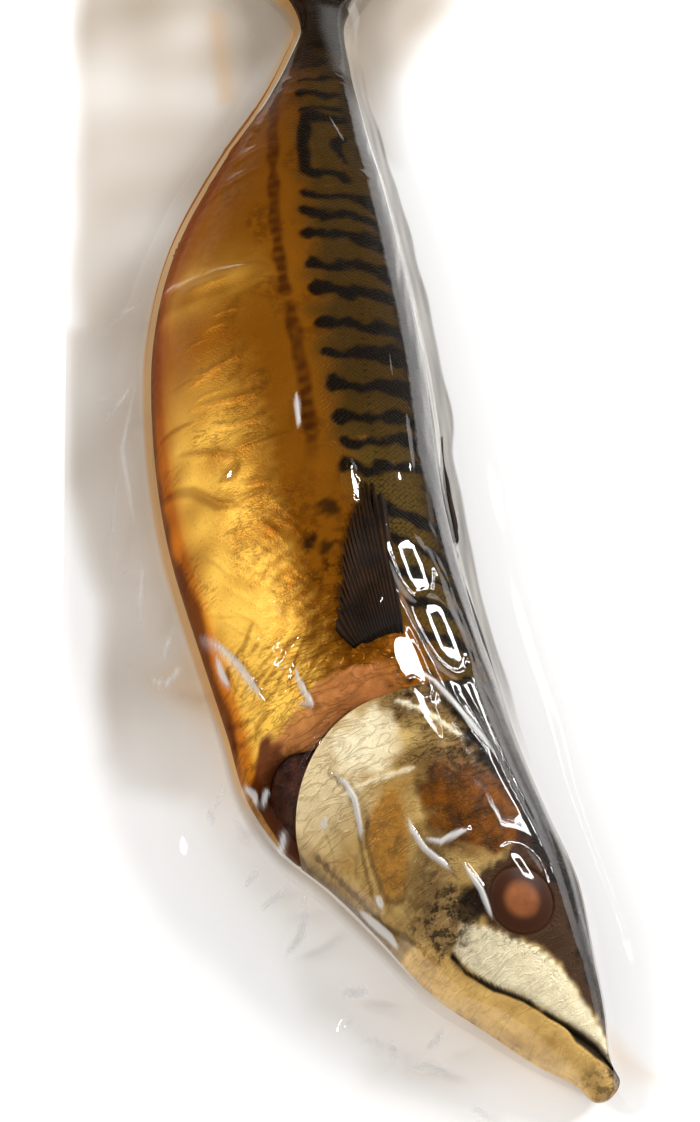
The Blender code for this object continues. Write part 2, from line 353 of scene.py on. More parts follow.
class Paint:  # a short hand for the nodes of one material or group
    def __init__(self, tree):
        self.tree = tree

    def node(self, kind, settings=None, **inputs):
        made = self.tree.nodes.new(kind)
        for key, value in (settings or {}).items():
            setattr(made, key, value)
        for key, value in inputs.items():
            self.feed(made, key.replace("_", " "), value)
        return made

    def feed(self, made, name, value):
        target = made.inputs[int(name)] if name.isdigit() else made.inputs[name]
        if isinstance(value, bpy.types.NodeSocket):
            self.tree.links.new(value, target)
        else:
            target.default_value = value

    def maths(self, operation, first, second=0.0, clamp=False):
        made = self.node("ShaderNodeMath", {"operation": operation, "use_clamp": clamp})
        self.feed(made, "0", first)
        self.feed(made, "1", second)
        return made.outputs[0]

    def times(self, first, *others):
        for other in others:
            first = self.maths("MULTIPLY", first, other)
        return first

    def mixColour(self, share, first, second):
        made = self.node("ShaderNodeMix", {"data_type": "RGBA"})
        self.feed(made, "0", share)
        for name, colour in (("6", first), ("7", second)):
            self.feed(made, name, colour if isinstance(colour, bpy.types.NodeSocket) else rgba(colour))
        return made.outputs[2]

    def mixShader(self, share, first, second):
        made = self.node("ShaderNodeMixShader")
        for name, value in (("0", share), ("1", first.outputs[0]), ("2", second.outputs[0])):
            self.feed(made, name, value)
        return made

    def ramp(self, value, low, high, outLow=0.0, outHigh=1.0):
        limits = {"From_Min": low, "From_Max": high, "To_Min": outLow, "To_Max": outHigh}
        return self.node(
            "ShaderNodeMapRange", {"interpolation_type": "SMOOTHSTEP"}, Value=value, **limits
        ).outputs[0]

    def noise(self, place, scale, detail, roughness, **more):
        return self.node(
            "ShaderNodeTexNoise", Vector=place, Scale=scale, Detail=detail, Roughness=roughness, **more
        ).outputs[0]

    def mask(self, name):
        return self.node("ShaderNodeAttribute", {"attribute_name": name}).outputs["Fac"]

    def group(self, name, **inputs):
        made = self.node("ShaderNodeGroup", {"node_tree": bpy.data.node_groups[name]})
        for key, value in inputs.items():
            self.feed(made, key, value)
        return made.outputs

    def surface(self, shader, colour, roughness, gloss, metal=0.0):
        given = {"Base Color": colour, "Roughness": roughness, "Specular IOR Level": gloss, "Metallic": metal}
        for name, value in given.items():
            self.feed(shader, name, value)

    def relief(self, shader, height, strength, depth):  # a bump of the given height, its depth in metres
        raised = self.node("ShaderNodeBump", Height=height, Strength=strength, Distance=depth)
        self.feed(shader, "Normal", raised.outputs[0])


def rgba(colour):
    return (colour[0], colour[1], colour[2], 1.0)


def newGroup(name, inputs, outputs):
    tree = bpy.data.node_groups.new(name, "ShaderNodeTree")
    for label, value in inputs.items():
        made = tree.interface.new_socket(label, in_out="INPUT", socket_type="NodeSocketFloat")
        made.default_value = value
    for label in outputs:
        tree.interface.new_socket(label, in_out="OUTPUT", socket_type="NodeSocketFloat")
    return tree, tree.nodes.new("NodeGroupInput").outputs, tree.nodes.new("NodeGroupOutput").inputs


def buildTone():  # blotches in two sizes, zero to one, used to vary every colour
    tree, given, out = newGroup("patchyTone", {"size": 10.0, "contrast": 1.0}, ["tone", "speck"])
    paint = Paint(tree)
    place = paint.node("ShaderNodeTexCoord").outputs["Object"]
    scale = paint.maths("DIVIDE", 1000.0, given["size"])
    broad = paint.noise(place, scale, 4.0, 0.6)
    stretch = paint.times(paint.maths("SUBTRACT", broad, 0.5), given["contrast"])
    tree.links.new(paint.maths("ADD", paint.times(stretch, 2.2), 0.5, clamp=True), out["tone"])
    fine = paint.noise(place, paint.times(scale, 9.0), 2.0, 0.6)
    tree.links.new(paint.ramp(fine, 0.56, 0.72), out["speck"])


def buildGrain():  # height of fine skin: pores, short creases that run across the fish, and small scales in rows
    given = {"poreSize": 0.5, "scaleSize": 0.9, "scaleAmount": 0.0, "creaseSize": 3.0, "creaseAmount": 0.5}
    tree, given, out = newGroup("skinGrain", given, ["height", "scaleEdge", "crease"])
    paint = Paint(tree)
    place = paint.node("ShaderNodeTexCoord").outputs["Object"]
    flat = paint.node("ShaderNodeUVMap", {"uv_map": "alongSkin"}).outputs[0]
    pores = paint.noise(place, paint.maths("DIVIDE", 1000.0, given["poreSize"]), 2.0, 0.6)
    # Creases are the places where a stretched noise passes through its middle value.
    stretched = paint.node(
        "ShaderNodeMapping", Vector=flat, Rotation=(0.0, 0.0, 0.5), Scale=(1.0, 0.35, 1.0),
    ).outputs[0]
    folds = paint.noise(stretched, paint.maths("DIVIDE", 100.0, given["creaseSize"]), 3.0, 0.55, Distortion=0.9)
    crease = paint.ramp(paint.maths("ABSOLUTE", paint.maths("SUBTRACT", folds, 0.5)), 0.0, 0.05, 1.0, 0.0)
    tree.links.new(crease, out["crease"])
    turned = paint.node(
        "ShaderNodeMapping", Vector=flat, Rotation=(0.0, 0.0, 0.785), Scale=(1.0, 1.0, 1.0),
    ).outputs[0]
    rows = paint.maths("DIVIDE", 100.0, given["scaleSize"])
    square = {"feature": "F1", "distance": "CHEBYCHEV"}
    cells = paint.node("ShaderNodeTexVoronoi", square, Vector=turned, Scale=rows, Randomness=0.35)
    edge = paint.ramp(cells.outputs[0], 0.25, 0.6)
    tree.links.new(edge, out["scaleEdge"])
    height = paint.times(paint.maths("SUBTRACT", 1.0, edge), given["scaleAmount"])
    height = paint.maths("ADD", height, paint.times(pores, 0.5))
    tree.links.new(paint.maths("ADD", height, paint.times(crease, given["creaseAmount"])), out["height"])


def newMaterial(name):
    material = bpy.data.materials.new(name)
    material.use_nodes = True
    return material, Paint(material.node_tree), material.node_tree.nodes["Principled BSDF"]


def layered(paint, base, look, layers):  # each layer paints its colour over the last one, where its mask says
    for maskName, colourName, amount in layers:
        base = paint.mixColour(paint.times(paint.mask(maskName), amount), base, look[colourName])
    return base


skin = {
    # paleSheen: the belly's lighter gold, also used as the colour of its painted sheen.
    "paleSheen": (0.86, 0.50, 0.075),
    "netGold": (0.150, 0.092, 0.012),
    "gold": (0.31, 0.100, 0.0035),
    "goldDeep": (0.19, 0.056, 0.002),
    "flankBrown": (0.185, 0.062, 0.003),
    "tailBrown": (0.080, 0.022, 0.001),
    "backOlive": (0.044, 0.021, 0.0012),
    "backDark": (0.016, 0.008, 0.002),
    "bars": (0.005, 0.003, 0.0015),
    "stripe": (0.045, 0.010, 0.0015),
    "rim": (0.50, 0.190, 0.060),
    # rimShade: the colour of the painted shade in the rim's creases and on the roll's inner side.
    "rimShade": (0.060, 0.010, 0.003),
    "roughness": 0.37,
    "metal": 0.5,
    "gloss": 0.04,
    "grain": 0.45,
}


def skinMaterial():
    material, paint, shader = newMaterial("smokedSkin")
    tone = paint.group("patchyTone", size=22.0, contrast=1.2)["tone"]
    fine = paint.group("patchyTone", size=2.2, contrast=1.3)["tone"]
    back, crumple = paint.mask("back"), paint.mask("crumple")
    sizes = {"poreSize": 0.45, "scaleSize": 0.85, "creaseSize": 3.2}
    grain = paint.group("skinGrain", scaleAmount=back, creaseAmount=crumple, **sizes)
    colour = paint.mixColour(paint.times(tone, 0.6), skin["gold"], skin["goldDeep"])
    colour = paint.mixColour(paint.times(fine, 0.4), colour, skin["goldDeep"])
    # Painted sheen: paleSheen lays the lighter gold over the belly, partly the skin's own colour and partly painted
    # sheen.
    colour = layered(paint, colour, skin, [("paleSheen", "paleSheen", 0.9), ("flank", "flankBrown", 0.78)])
    mottle = paint.times(paint.mask("mottle"), paint.ramp(fine, 0.25, 0.75))
    colour = paint.mixColour(mottle, colour, skin["tailBrown"])
    colour = layered(paint, colour, skin, [("tailward", "tailBrown", 0.85)])
    hatch = paint.times(grain["scaleEdge"], paint.mask("netted"))
    olive = paint.mixColour(paint.mask("bright"), skin["backOlive"], skin["netGold"])
    olive = paint.mixColour(hatch, olive, skin["backDark"])
    speckle = paint.group("patchyTone", size=5.5, contrast=1.0)["speck"]
    colour = paint.mixColour(paint.times(speckle, 0.35), colour, skin["flankBrown"])
    # Painted shade in creases: the thin crease lines on the belly and behind the rim are darkened.
    thin = paint.group("skinGrain", poreSize=0.3, scaleSize=0.5, creaseSize=1.5)["crease"]
    colour = paint.mixColour(
        paint.times(thin, paint.times(paint.mask("fineCreaseShade"), 0.5)), colour, skin["tailBrown"],
    )
    colour = paint.mixColour(back, colour, olive)
    # Painted shade in the crumpled creases behind the gill.
    colour = paint.mixColour(paint.times(grain["crease"], paint.times(crumple, 0.35)), colour, skin["tailBrown"])
    # Painted shade: foldShade darkens one side of each fold, and edge darkens the belly where it curves down to its
    # edge.
    layers = [("foldShade", "flankBrown", 0.6), ("edge", "tailBrown", 0.8), ("stripe", "stripe", 0.85)]
    colour = layered(paint, colour, skin, layers + [("bars", "bars", 0.97)])
    # Painted shade on the rolled rim: darker in its crease lines and on the roll's inner side.
    fold = paint.mixColour(paint.times(grain["crease"], 0.25), skin["rim"], skin["rimShade"])
    fold = paint.mixColour(paint.times(fine, 0.5), fold, skin["goldDeep"])
    colour = paint.mixColour(paint.times(paint.mask("rim"), 0.92), colour, fold)
    colour = layered(paint, colour, skin, [("rimInnerShade", "rimShade", 0.95)])
    rough = paint.ramp(fine, 0.0, 1.0, skin["roughness"] - 0.06, skin["roughness"] + 0.08)
    paint.surface(shader, colour, rough, skin["gloss"], paint.times(paint.mask("satin"), skin["metal"]))
    paint.relief(shader, grain["height"], skin["grain"], 0.0005)
    return material


head = {
    "cream": (0.58, 0.40, 0.14),
    "creamDeep": (0.30, 0.155, 0.035),
    "silver": (0.98, 0.88, 0.60),
    "ochre": (0.42, 0.18, 0.018),
    "ochreDeep": (0.20, 0.075, 0.010),
    "amber": (0.20, 0.058, 0.003),
    "amberDeep": (0.045, 0.016, 0.003),
    "socket": (0.032, 0.010, 0.006),
    "dark": (0.009, 0.006, 0.004),
    "smoky": (0.16, 0.085, 0.045),
    "jaw": (1.0, 0.66, 0.22),
    "jawDeep": (0.40, 0.20, 0.045),
    "olive": (0.105, 0.060, 0.018),
    "roughness": 0.34,
    "metal": 0.12,
    "gloss": 0.08,
    "grain": 0.55,
}


def headMaterial():
    material, paint, shader = newMaterial("headPlates")
    tone = paint.group("patchyTone", size=9.0, contrast=1.3)["tone"]
    small = paint.group("patchyTone", size=1.7, contrast=1.4)
    fine = small["tone"]
    sizes = {"poreSize": 0.4, "scaleSize": 1.0}
    grain = paint.group("skinGrain", scaleAmount=0.0, creaseSize=2.6, creaseAmount=0.35, **sizes)
    veins = paint.group("skinGrain", creaseSize=1.7, **sizes)["crease"]
    colour = paint.mixColour(paint.times(tone, 0.8), head["cream"], head["creamDeep"])
    silver = paint.mixColour(paint.times(fine, 0.25), head["silver"], head["creamDeep"])
    colour = paint.mixColour(paint.mask("silver"), colour, silver)
    olive = paint.mixColour(paint.times(fine, 0.45), head["olive"], head["creamDeep"])
    patchy = paint.times(paint.mask("olive"), paint.ramp(tone, 0.05, 0.5, 0.55, 1.0))
    colour = paint.mixColour(patchy, colour, olive)
    ochre = paint.mixColour(fine, head["ochre"], head["ochreDeep"])
    colour = paint.mixColour(paint.mask("ochre"), colour, ochre)
    amber = paint.mixColour(paint.ramp(tone, 0.25, 0.75), head["amber"], head["amberDeep"])
    amber = paint.mixColour(paint.times(fine, 0.6), amber, head["amberDeep"])
    colour = paint.mixColour(paint.mask("amber"), colour, amber)
    jaw = paint.mixColour(paint.times(tone, 0.7), head["jaw"], head["jawDeep"])
    colour = paint.mixColour(paint.mask("jaw"), colour, jaw)
    colour = paint.mixColour(paint.times(small["speck"], 0.4), colour, head["creamDeep"])
    colour = layered(paint, colour, head, [("socket", "socket", 0.95), ("smudge", "smoky", 0.55)])
    broken = paint.times(paint.mask("smudge"), paint.ramp(fine, 0.35, 0.75, 0.0, 0.85))
    colour = paint.mixColour(broken, colour, head["dark"])
    net = paint.times(paint.mask("net"), veins)
    colour = paint.mixColour(paint.times(net, paint.ramp(fine, 0.2, 0.8, 0.15, 0.8)), colour, head["dark"])
    fibre = paint.times(paint.mask("fibre"), grain["crease"], 0.35)
    colour = paint.mixColour(fibre, colour, head["creamDeep"])
    # Painted shade in the head's grooves and creases (grooveShade), a painted highlight along its raised ridges
    # (bright), and the back's own black (dark).
    colour = layered(
        paint, colour, head, [("grooveShade", "amberDeep", 0.8), ("bright", "silver", 0.9), ("dark", "dark", 0.97)],
    )
    rough = paint.ramp(fine, 0.0, 1.0, head["roughness"] - 0.06, head["roughness"] + 0.1)
    paint.surface(shader, colour, rough, head["gloss"], head["metal"])
    paint.relief(shader, paint.maths("SUBTRACT", grain["height"], paint.times(net, 0.8)), head["grain"], 0.0006)
    return material


gill = {"red": (0.060, 0.015, 0.006), "deep": (0.008, 0.0030, 0.0015), "roughness": 0.5, "gloss": 0.12}


def gillMaterial():
    material, paint, shader = newMaterial("wetGill")
    tone = paint.group("patchyTone", size=4.0, contrast=1.4)["tone"]
    paint.surface(shader, paint.mixColour(tone, gill["red"], gill["deep"]), gill["roughness"], gill["gloss"])
    paint.relief(shader, tone, 0.6, 0.0008)
    return material


fins = {"black": (0.009, 0.005, 0.003), "brown": (0.050, 0.020, 0.006), "roughness": 0.42, "gloss": 0.05}


def finMaterial():
    material, paint, shader = newMaterial("darkFin")
    ray = paint.mask("ray")
    tone = paint.group("patchyTone", size=5.0, contrast=1.2)["tone"]
    colour = paint.mixColour(paint.times(ray, tone), fins["black"], fins["brown"])
    paint.surface(shader, colour, fins["roughness"], fins["gloss"])
    paint.relief(shader, ray, 0.5, 0.0005)
    return material


film = {
    "bellyShine": 0.06,
    "hazeGlintColour": (0.80, 0.78, 0.75),
    # shadeTint: the film's own grey, also the colour of the painted shadow and shade seen through it.
    "shadeTint": (0.62, 0.555, 0.48),
    # edgeShade: colour of the painted shade in the band beside the back and of the painted dark line at its outer
    # edge.
    "edgeShade": (0.16, 0.15, 0.13),
    "oilTint": (0.76, 0.50, 0.23),
    "roughness": 0.05,
    "index": 1.5,
    "rows": 470,
    "columns": 196,
    "rings": 72,
    "ringPower": 1.45,
    "halfSize": (65.0, 190.0),
    "fall": 19.0,
    "fallPower": 2.4,
    "leave": 0.90,
    "denseTo": 110,
    "end": 322,
    "spread": 0.43 * np.pi,
    "weld": 8.0,
}


def filmMaterial():
    material, paint, shader = newMaterial("clearFilm")
    tree = material.node_tree
    place = paint.node("ShaderNodeTexCoord").outputs["Object"]
    small = paint.noise(place, 160.0, 2.0, 0.5)
    bands = {"wave_type": "BANDS", "bands_direction": "DIAGONAL"}
    ribs = paint.node("ShaderNodeTexWave", bands, Vector=place, Scale=260.0).outputs[1]
    height = paint.maths("ADD", paint.times(small, 0.5), paint.times(ribs, paint.mask("seal")))
    normal = paint.node("ShaderNodeBump", Height=height, Strength=0.12, Distance=0.0012).outputs[0]
    # The clear film's colour: shadeTint darkens it for the film's grey and for painted shadow and shade, oilTint
    # browns it, and edgeShade darkens it for painted shade in the band beside the back.
    shadeTint = (1.0, 1.0, 1.0)
    for maskName, colourName in (("shadeTint", "shadeTint"), ("oil", "oilTint"), ("outline", "edgeShade")):
        shadeTint = paint.mixColour(paint.mask(maskName), shadeTint, film[colourName])
    clear = paint.node("ShaderNodeBsdfTransparent", Color=shadeTint)
    gloss = paint.node(
        "ShaderNodeBsdfGlossy", Color=(1.0, 1.0, 1.0, 1.0), Roughness=film["roughness"], Normal=normal,
    )
    # The Fresnel node turns its index round on the inner side, where a thin film reflects just as it does outside.
    inner = paint.node("ShaderNodeNewGeometry").outputs["Backfacing"]
    index = paint.maths("SUBTRACT", film["index"], paint.times(inner, film["index"] - 1 / film["index"]))
    fresnel = paint.node("ShaderNodeFresnel", IOR=index, Normal=normal).outputs[0]
    shell = paint.mixShader(paint.maths("MULTIPLY", fresnel, paint.mask("shine"), clamp=True), clear, gloss)
    # hazeAndGlint: a white diffuse haze on the film, partly the film's own haze and whitening at folds, partly
    # painted reflection and highlight.
    hazeAndGlint = paint.node("ShaderNodeBsdfDiffuse", Color=rgba(film["hazeGlintColour"]))
    full = paint.mixShader(paint.mask("hazeAndGlint"), shell, hazeAndGlint)
    tree.nodes.remove(shader)
    tree.links.new(full.outputs[0], tree.nodes["Material Output"].inputs["Surface"])
    return material


def halfWidths(s):  # the fish's reach towards its back and its belly, a little inside the stations along the body
    back = station("toBack", s) * (1 - 0.03 * smooth(92, 130, s) * (1 - smooth(255, 285, s)))
    return back, station("toBelly", s) - 1.2 * smooth(10, 60, s)


def section(s, theta, inset=0.0):
    # The fish's cross-section: theta goes from the belly edge over the top to the back and under to the belly again.
    # Half widths and heights come from the stations, each side is a rounded arch, and the underside is flattened.
    s, theta = np.broadcast_arrays(s, theta)
    v = -np.cos(theta)
    back, belly = halfWidths(s)
    b = v * np.where(v > 0, back - inset, belly - inset)
    mid = station("seam", s) - 1.0
    top = station("top", s) - 0.5 - inset
    share = np.abs(v)
    arch = np.where(v > 0, (1 - np.minimum(share, 1) ** 2.3) ** 0.5, (1 - np.minimum(share, 1) ** 2) ** 0.62)
    under = (1 - share**3) ** 0.5 * (1 - 0.8 * smooth(270, 303, s))
    z = np.where(np.sin(theta) >= 0, mid + (top - mid) * arch, mid - (mid - 0.9 - inset) * under)
    return v, b, z


def sideUp(theta):  # plus one on the upper side, minus a half on the pressed lower side, easing through the edges
    lift = np.sin(theta)
    return np.where(lift >= 0, smooth(0.0, 0.3, lift), -0.4 * smooth(0.0, 0.3, -lift))


stripes = {
    # Short dark bars of the back: distance from the snout, where the left end lies, and half width.
    "bars": [
        (138.8, 9.6, 1.5), (145.8, 10.2, 1.5), (152.7, 10.0, 1.7), (161.1, 9.8, 1.8), (170.6, 9.4, 1.9),
        (179.0, 8.6, 1.9), (189.4, 7.8, 2.0), (197.8, 6.8, 1.6), (207.8, 5.6, 1.9), (214.6, 5.0, 1.5),
        (221.6, 4.6, 1.6),
    ],
    "frontBars": [(95.0, 15.0), (103.5, 15.5), (112.0, 15.0), (120.5, 14.5), (129.5, 14.0)],
    "lean": 0.06,
    "loops": [
        ([(228.8, 13.5), (228.6, 4.0), (238.0, 2.6), (250.5, 2.2), (252.5, 11.5)], 1.6),
        ([(236.0, 13.5), (240.5, 10.2), (244.5, 12.5)], 1.2),
        ([(252.8, 1.0), (256.8, 10.0)], 1.0),
        ([(259.3, -0.6), (263.3, 9.0)], 1.1),
        ([(265.5, -1.5), (270.0, 7.5)], 0.9),
        ([(272.0, -2.0), (277.0, 6.0)], 1.1),
        ([(280.0, -2.0), (284.0, 5.0)], 1.0),
    ],
    "spots": [(129.4, 4.2, 2.1), (122.0, -1.8, 1.7), (120.0, 1.3, 1.6), (116.0, 5.5, 1.5)],
    "midline": [(268.0, -8.0), (236.0, -4.7), (207.3, -2.0), (188.4, 0.6)],
    "midlineFront": [(184.0, 1.6), (165.1, 3.3), (148.7, 3.3), (141.3, 2.5)],
}


def barMask(a, b):
    # A bar starts as a round club, thins out, and widens again where the bars run together along the back.
    aa = a + 0.7 * softField(a, b, 14.0, 5) + 0.35 * softField(a, b, 4.0, 6)
    wander = softField(a, b, 9.0, 3)
    dark = np.zeros(np.shape(a))
    for at, left, half in stripes["bars"]:
        steps = [(0.0, 0.0), (-0.6, 4.0), (stripes["lean"] * 9, 9.0), (1.6, 15.0), (1.5, 30.0)]
        line = [(at + along, left + across) for along, across in steps]
        club = half * (0.80 + 0.35 * bump(b - left, 3.0) + 0.75 * smooth(left + 9.0, left + 17.0, b))
        dark = most(dark, onLine(aa, b, line, club - 0.7, club + 0.7, 0.3 * wander))
    for at, left in stripes["frontBars"]:
        line = [(at, left), (at - 2.5, left + 5.0), (at - 7.5, left + 14.0)]
        dark = most(dark, onLine(aa, b, line, 1.0, 2.2, 0.5 * wander))
    for line, half in stripes["loops"]:
        dark = most(dark, onLine(aa, b, line, half - 0.6, half + 0.7, 0.3 * wander))
    for at, across, radius in stripes["spots"]:
        spot = np.hypot(a - at, b - across) + 0.4 * softField(a, b, 3.0, 7)
        dark = most(dark, 0.8 * (1 - smooth(radius - 1.1, radius + 1.1, spot)))
    dots = smooth(0.2, 0.8, np.sin(a * 2 * np.pi / 1.9)) * bump(b - 16.6 - 0.03 * (a - 140), 0.4)
    return most(dark, 0.8 * dots * smooth(95, 115, a) * smooth(200, 170, a))


body = {
    "rows": 440,
    "around": 214,
    "end": 303.0,
    "denseShare": 0.68,
    "denseReach": 0.52,
    "upperShare": 0.82,
    "rollRadius": 2.7,
    "rollRows": 12,
}


def skinAngles(count, upperShare):
    # Angles round the section, closer together on the upper side, which takes the given share of them.
    t = np.linspace(0, 1, count, endpoint=False)
    return np.where(t < upperShare, np.pi * t / upperShare, np.pi + np.pi * (t - upperShare) / (1 - upperShare))


def skinMasks(s, b, v, depth, inner):
    # Where each colour of the body's skin lies. depth runs back from the front rim, and inner is how far the rim has
    # rolled inwards.
    edgeLeft = curveThrough([80, 140, 200, 250, 300], [16, 9, 6, 0.0, -3.5], s)
    wander = softField(s, b, 11.0, 31)
    small = softField(s, b, 5.0, 34)
    back = smooth(-5.0, 5.0, b - edgeLeft + 1.0 * wander)
    flank = smooth(-24.0, 3.0, b - edgeLeft + 1.5 * wander) ** 1.4
    # tailward: darker brown towards the tail, and painted shade along the belly's outer edge.
    tailward = most(
        smooth(190, 300, s) * smooth(-34, -2, b + 0.08 * (s - 190)),
        0.5 * smooth(0.92, 1.0, np.abs(v)) * (v < 0),
    )
    broadFolds = [(pressedFolds[0][0], 1.0, 4.0), (pressedFolds[2][0], 1.0, 5.0)]
    # paleSheen: the belly's lighter gold skin with painted sheen, stronger towards the head, and a painted highlight
    # along the two broad folds.
    paleSheen = smooth(-1, -19, b + 1.5 * small) * smooth(182, 150, s + 3 * wander)
    paleSheen = paleSheen * (0.75 + 0.6 * smooth(130, 112, s))
    paleSheen = most(paleSheen, 0.7 * creaseHeight(s, b, broadFolds)) * (0.8 + 0.25 * wander)
    mottle = most(
        bump(np.hypot((s - 114) / 20, (b - 1) / 8), 1.0) * smooth(-0.7, 0.7, softField(s, b, 7.0, 32)),
        0.5 * smooth(0.2, 1.1, softField(s, b, 13.0, 33)) * smooth(-26, -4, b),
        0.9 * bump(np.hypot((s - 98) / 6, (b - 2) / 8), 1.0),
    )
    front = onLine(s, b, stripes["midlineFront"], 0.7, 2.3, 0.35 * wander) * smooth(138, 152, s)
    stripe = most(onLine(s, b, stripes["midline"], 0.6, 2.0, 0.35 * wander), front) * (0.85 + 0.2 * small)
    nape = smooth(14, 2, depth) * smooth(0.10, 0.3, v) * smooth(0.3, 0.0, 0.3 - 0.3 * small)
    bars = most(
        barMask(s, b),
        0.93 * (smooth(0.76, 0.88, v + 0.03 * small) * smooth(88, 100, s)),
        np.clip(nape, 0, 1),
        0.7 * smooth(0.5, 0.7, v) * smooth(215, 260, s),
        0.93 * smooth(255, 284, s + 3 * wander - 0.5 * b),
    )
    rimWide = 2.0 + 4.0 * smooth(-0.80, -0.35, v)
    belowEdge = smooth(0.30, 0.0, v)
    rim = smooth(rimWide + 1.6, rimWide - 0.8, depth + 0.8 * small) * belowEdge
    # rimInnerShade: painted shade on the inner side of the roll and close to its crest, and darker towards the throat
    # end.
    rimInnerShade = most(
        smooth(0.6, 3.0, inner + 0.4 * small) * belowEdge,
        0.35 * rim * smooth(2.4, 0.4, depth + 0.5 * small),
        0.9 * rim * smooth(-0.55, -0.80, v + 0.05 * small) * smooth(5.0, 3.0, depth),
    )
    crumple = most(
        0.05 + 0.8 * smooth(26, 5, depth) * smooth(0.5, 0.1, v) * smooth(-0.95, -0.7, v),
        0.8 * bump(np.hypot((s - 106) / 9, (b - 1) / 7), 1.0),
    )
    # edge: painted shade along the belly side's outer edge, where the body curves down.
    bellyEdgeShadeFrom = -0.95 + 0.07 * bump(s - 120, 10.0) + 0.04 * bump(s - 97, 7.0)
    # fineCreaseShade: where the thin crease lines get painted shade.
    fineCreaseShade = most(
        smooth(205, 150, s) * smooth(8, -6, b) * smooth(-0.2, 0.9, softField(s, b, 16.0, 35)),
        smooth(30, 10, depth) * belowEdge,
    )
    masks = {
        "back": back,
        "flank": flank,
        "mottle": mottle,
        "stripe": stripe,
        "bars": bars,
        "rim": rim,
        "rimInnerShade": rimInnerShade,
        "tailward": tailward,
        "paleSheen": paleSheen,
        "crumple": crumple,
        "satin": (1 - back) * (1 - rim) * (1 - 0.5 * flank) * (1 - 0.75 * np.clip(paleSheen, 0, 1)),
        "netted": 0.35 + 0.55 * smooth(150, 125, s),
        # foldShade: painted shade along one side of each pressed fold, the crease mask shifted off its line.
        "foldShade": smooth(0.10, 0.34, creaseHeight(s + 0.45, b - 0.2, pressedFolds)) * (b < 18),
        "edge": smooth(bellyEdgeShadeFrom, bellyEdgeShadeFrom - 0.05, v + 0.006 * wander) * smooth(86, 92, s),
        "bright": 0.4 * smooth(160, 128, s + 3 * wander) * smooth(0.88, 0.70, v),
        "fineCreaseShade": fineCreaseShade,
    }
    return {name: np.clip(mask, 0, 1) for name, mask in masks.items()}


def buildBody(material):
    print("body")
    theta = skinAngles(body["around"], body["upperShare"])
    vEdge = -np.cos(theta)
    meets = smooth(0.10, 0.35, vEdge)
    start = gillLine(vEdge) + gapBehind(vEdge) * (1 - meets) + 0.3 * meets
    u = np.interp(np.linspace(0, 1, body["rows"]), [0, body["denseShare"], 1], [0, body["denseReach"], 1])[:, None]
    s = start + (body["end"] - start) * u
    v, b, z = section(s, theta)
    depth = s - start
    belly = smooth(0.35, -0.2, v)
    crumple = smooth(24, 4, depth) * smooth(0.55, 0.1, v)
    lift = 0.22 * crumple * softField(s, b, 7.0, 22) + pressedHeight(s, b) + 0.10 * softField(s, b, 14.0, 24)
    flow = smooth(94, 104, s) * smooth(140, 122, s) * smooth(-0.10, -0.30, v)
    lift = lift + 0.12 * flow * ridges(s, b, 2.45, 2.4, 30.0, 23)
    lift = (lift + 1.0 * bump(depth - 5.0, 3.4) * belly) * sideUp(theta)
    grid = placed(s, b, z + lift)

    # The front rim rolls over and runs inwards.
    angle = np.linspace(np.pi, 0.2, body["rollRows"])[:, None]
    rollSize = body["rollRadius"] * (0.25 + 0.75 * belly[:1]) * (1 - 0.5 * smooth(-0.75, -0.92, vEdge))
    sRoll = start - 0.7 * rollSize * np.sin(angle) * (1 - meets)
    inwards = rollSize * (1 - np.cos(angle))
    vRoll, bRoll, zRoll = section(sRoll, theta)
    shrink = 1 - inwards / 26.0
    middle = 0.5 * (station("top", sRoll) + 1.0)
    zRoll = middle + (zRoll - middle) * shrink + lift[:1] * (0.5 + 0.5 * np.cos(angle))
    mesh = closedTube("fishBody", np.concatenate([placed(sRoll, bRoll * shrink, zRoll), grid]))

    halves = ((sRoll, s), (bRoll, b), (vRoll, v), (sRoll - start, depth), (inwards, np.zeros(s.shape)))
    sAll, bAll, vAll, depthAll, innerAll = [np.concatenate(pair).ravel() for pair in halves]
    putAttributes(mesh, skinMasks(sAll, bAll, vAll, depthAll, innerAll), 2)
    upper = np.tile(np.sin(theta) >= 0, len(sAll) // len(theta))
    girth = np.where(upper, bAll, 80.0 - bAll)
    putUv(mesh, np.append(sAll, [80, 303]) / 100, np.append(girth, [0, 0]) / 100)
    turnOutward(mesh)
    addPiece("fishBody", mesh, material)


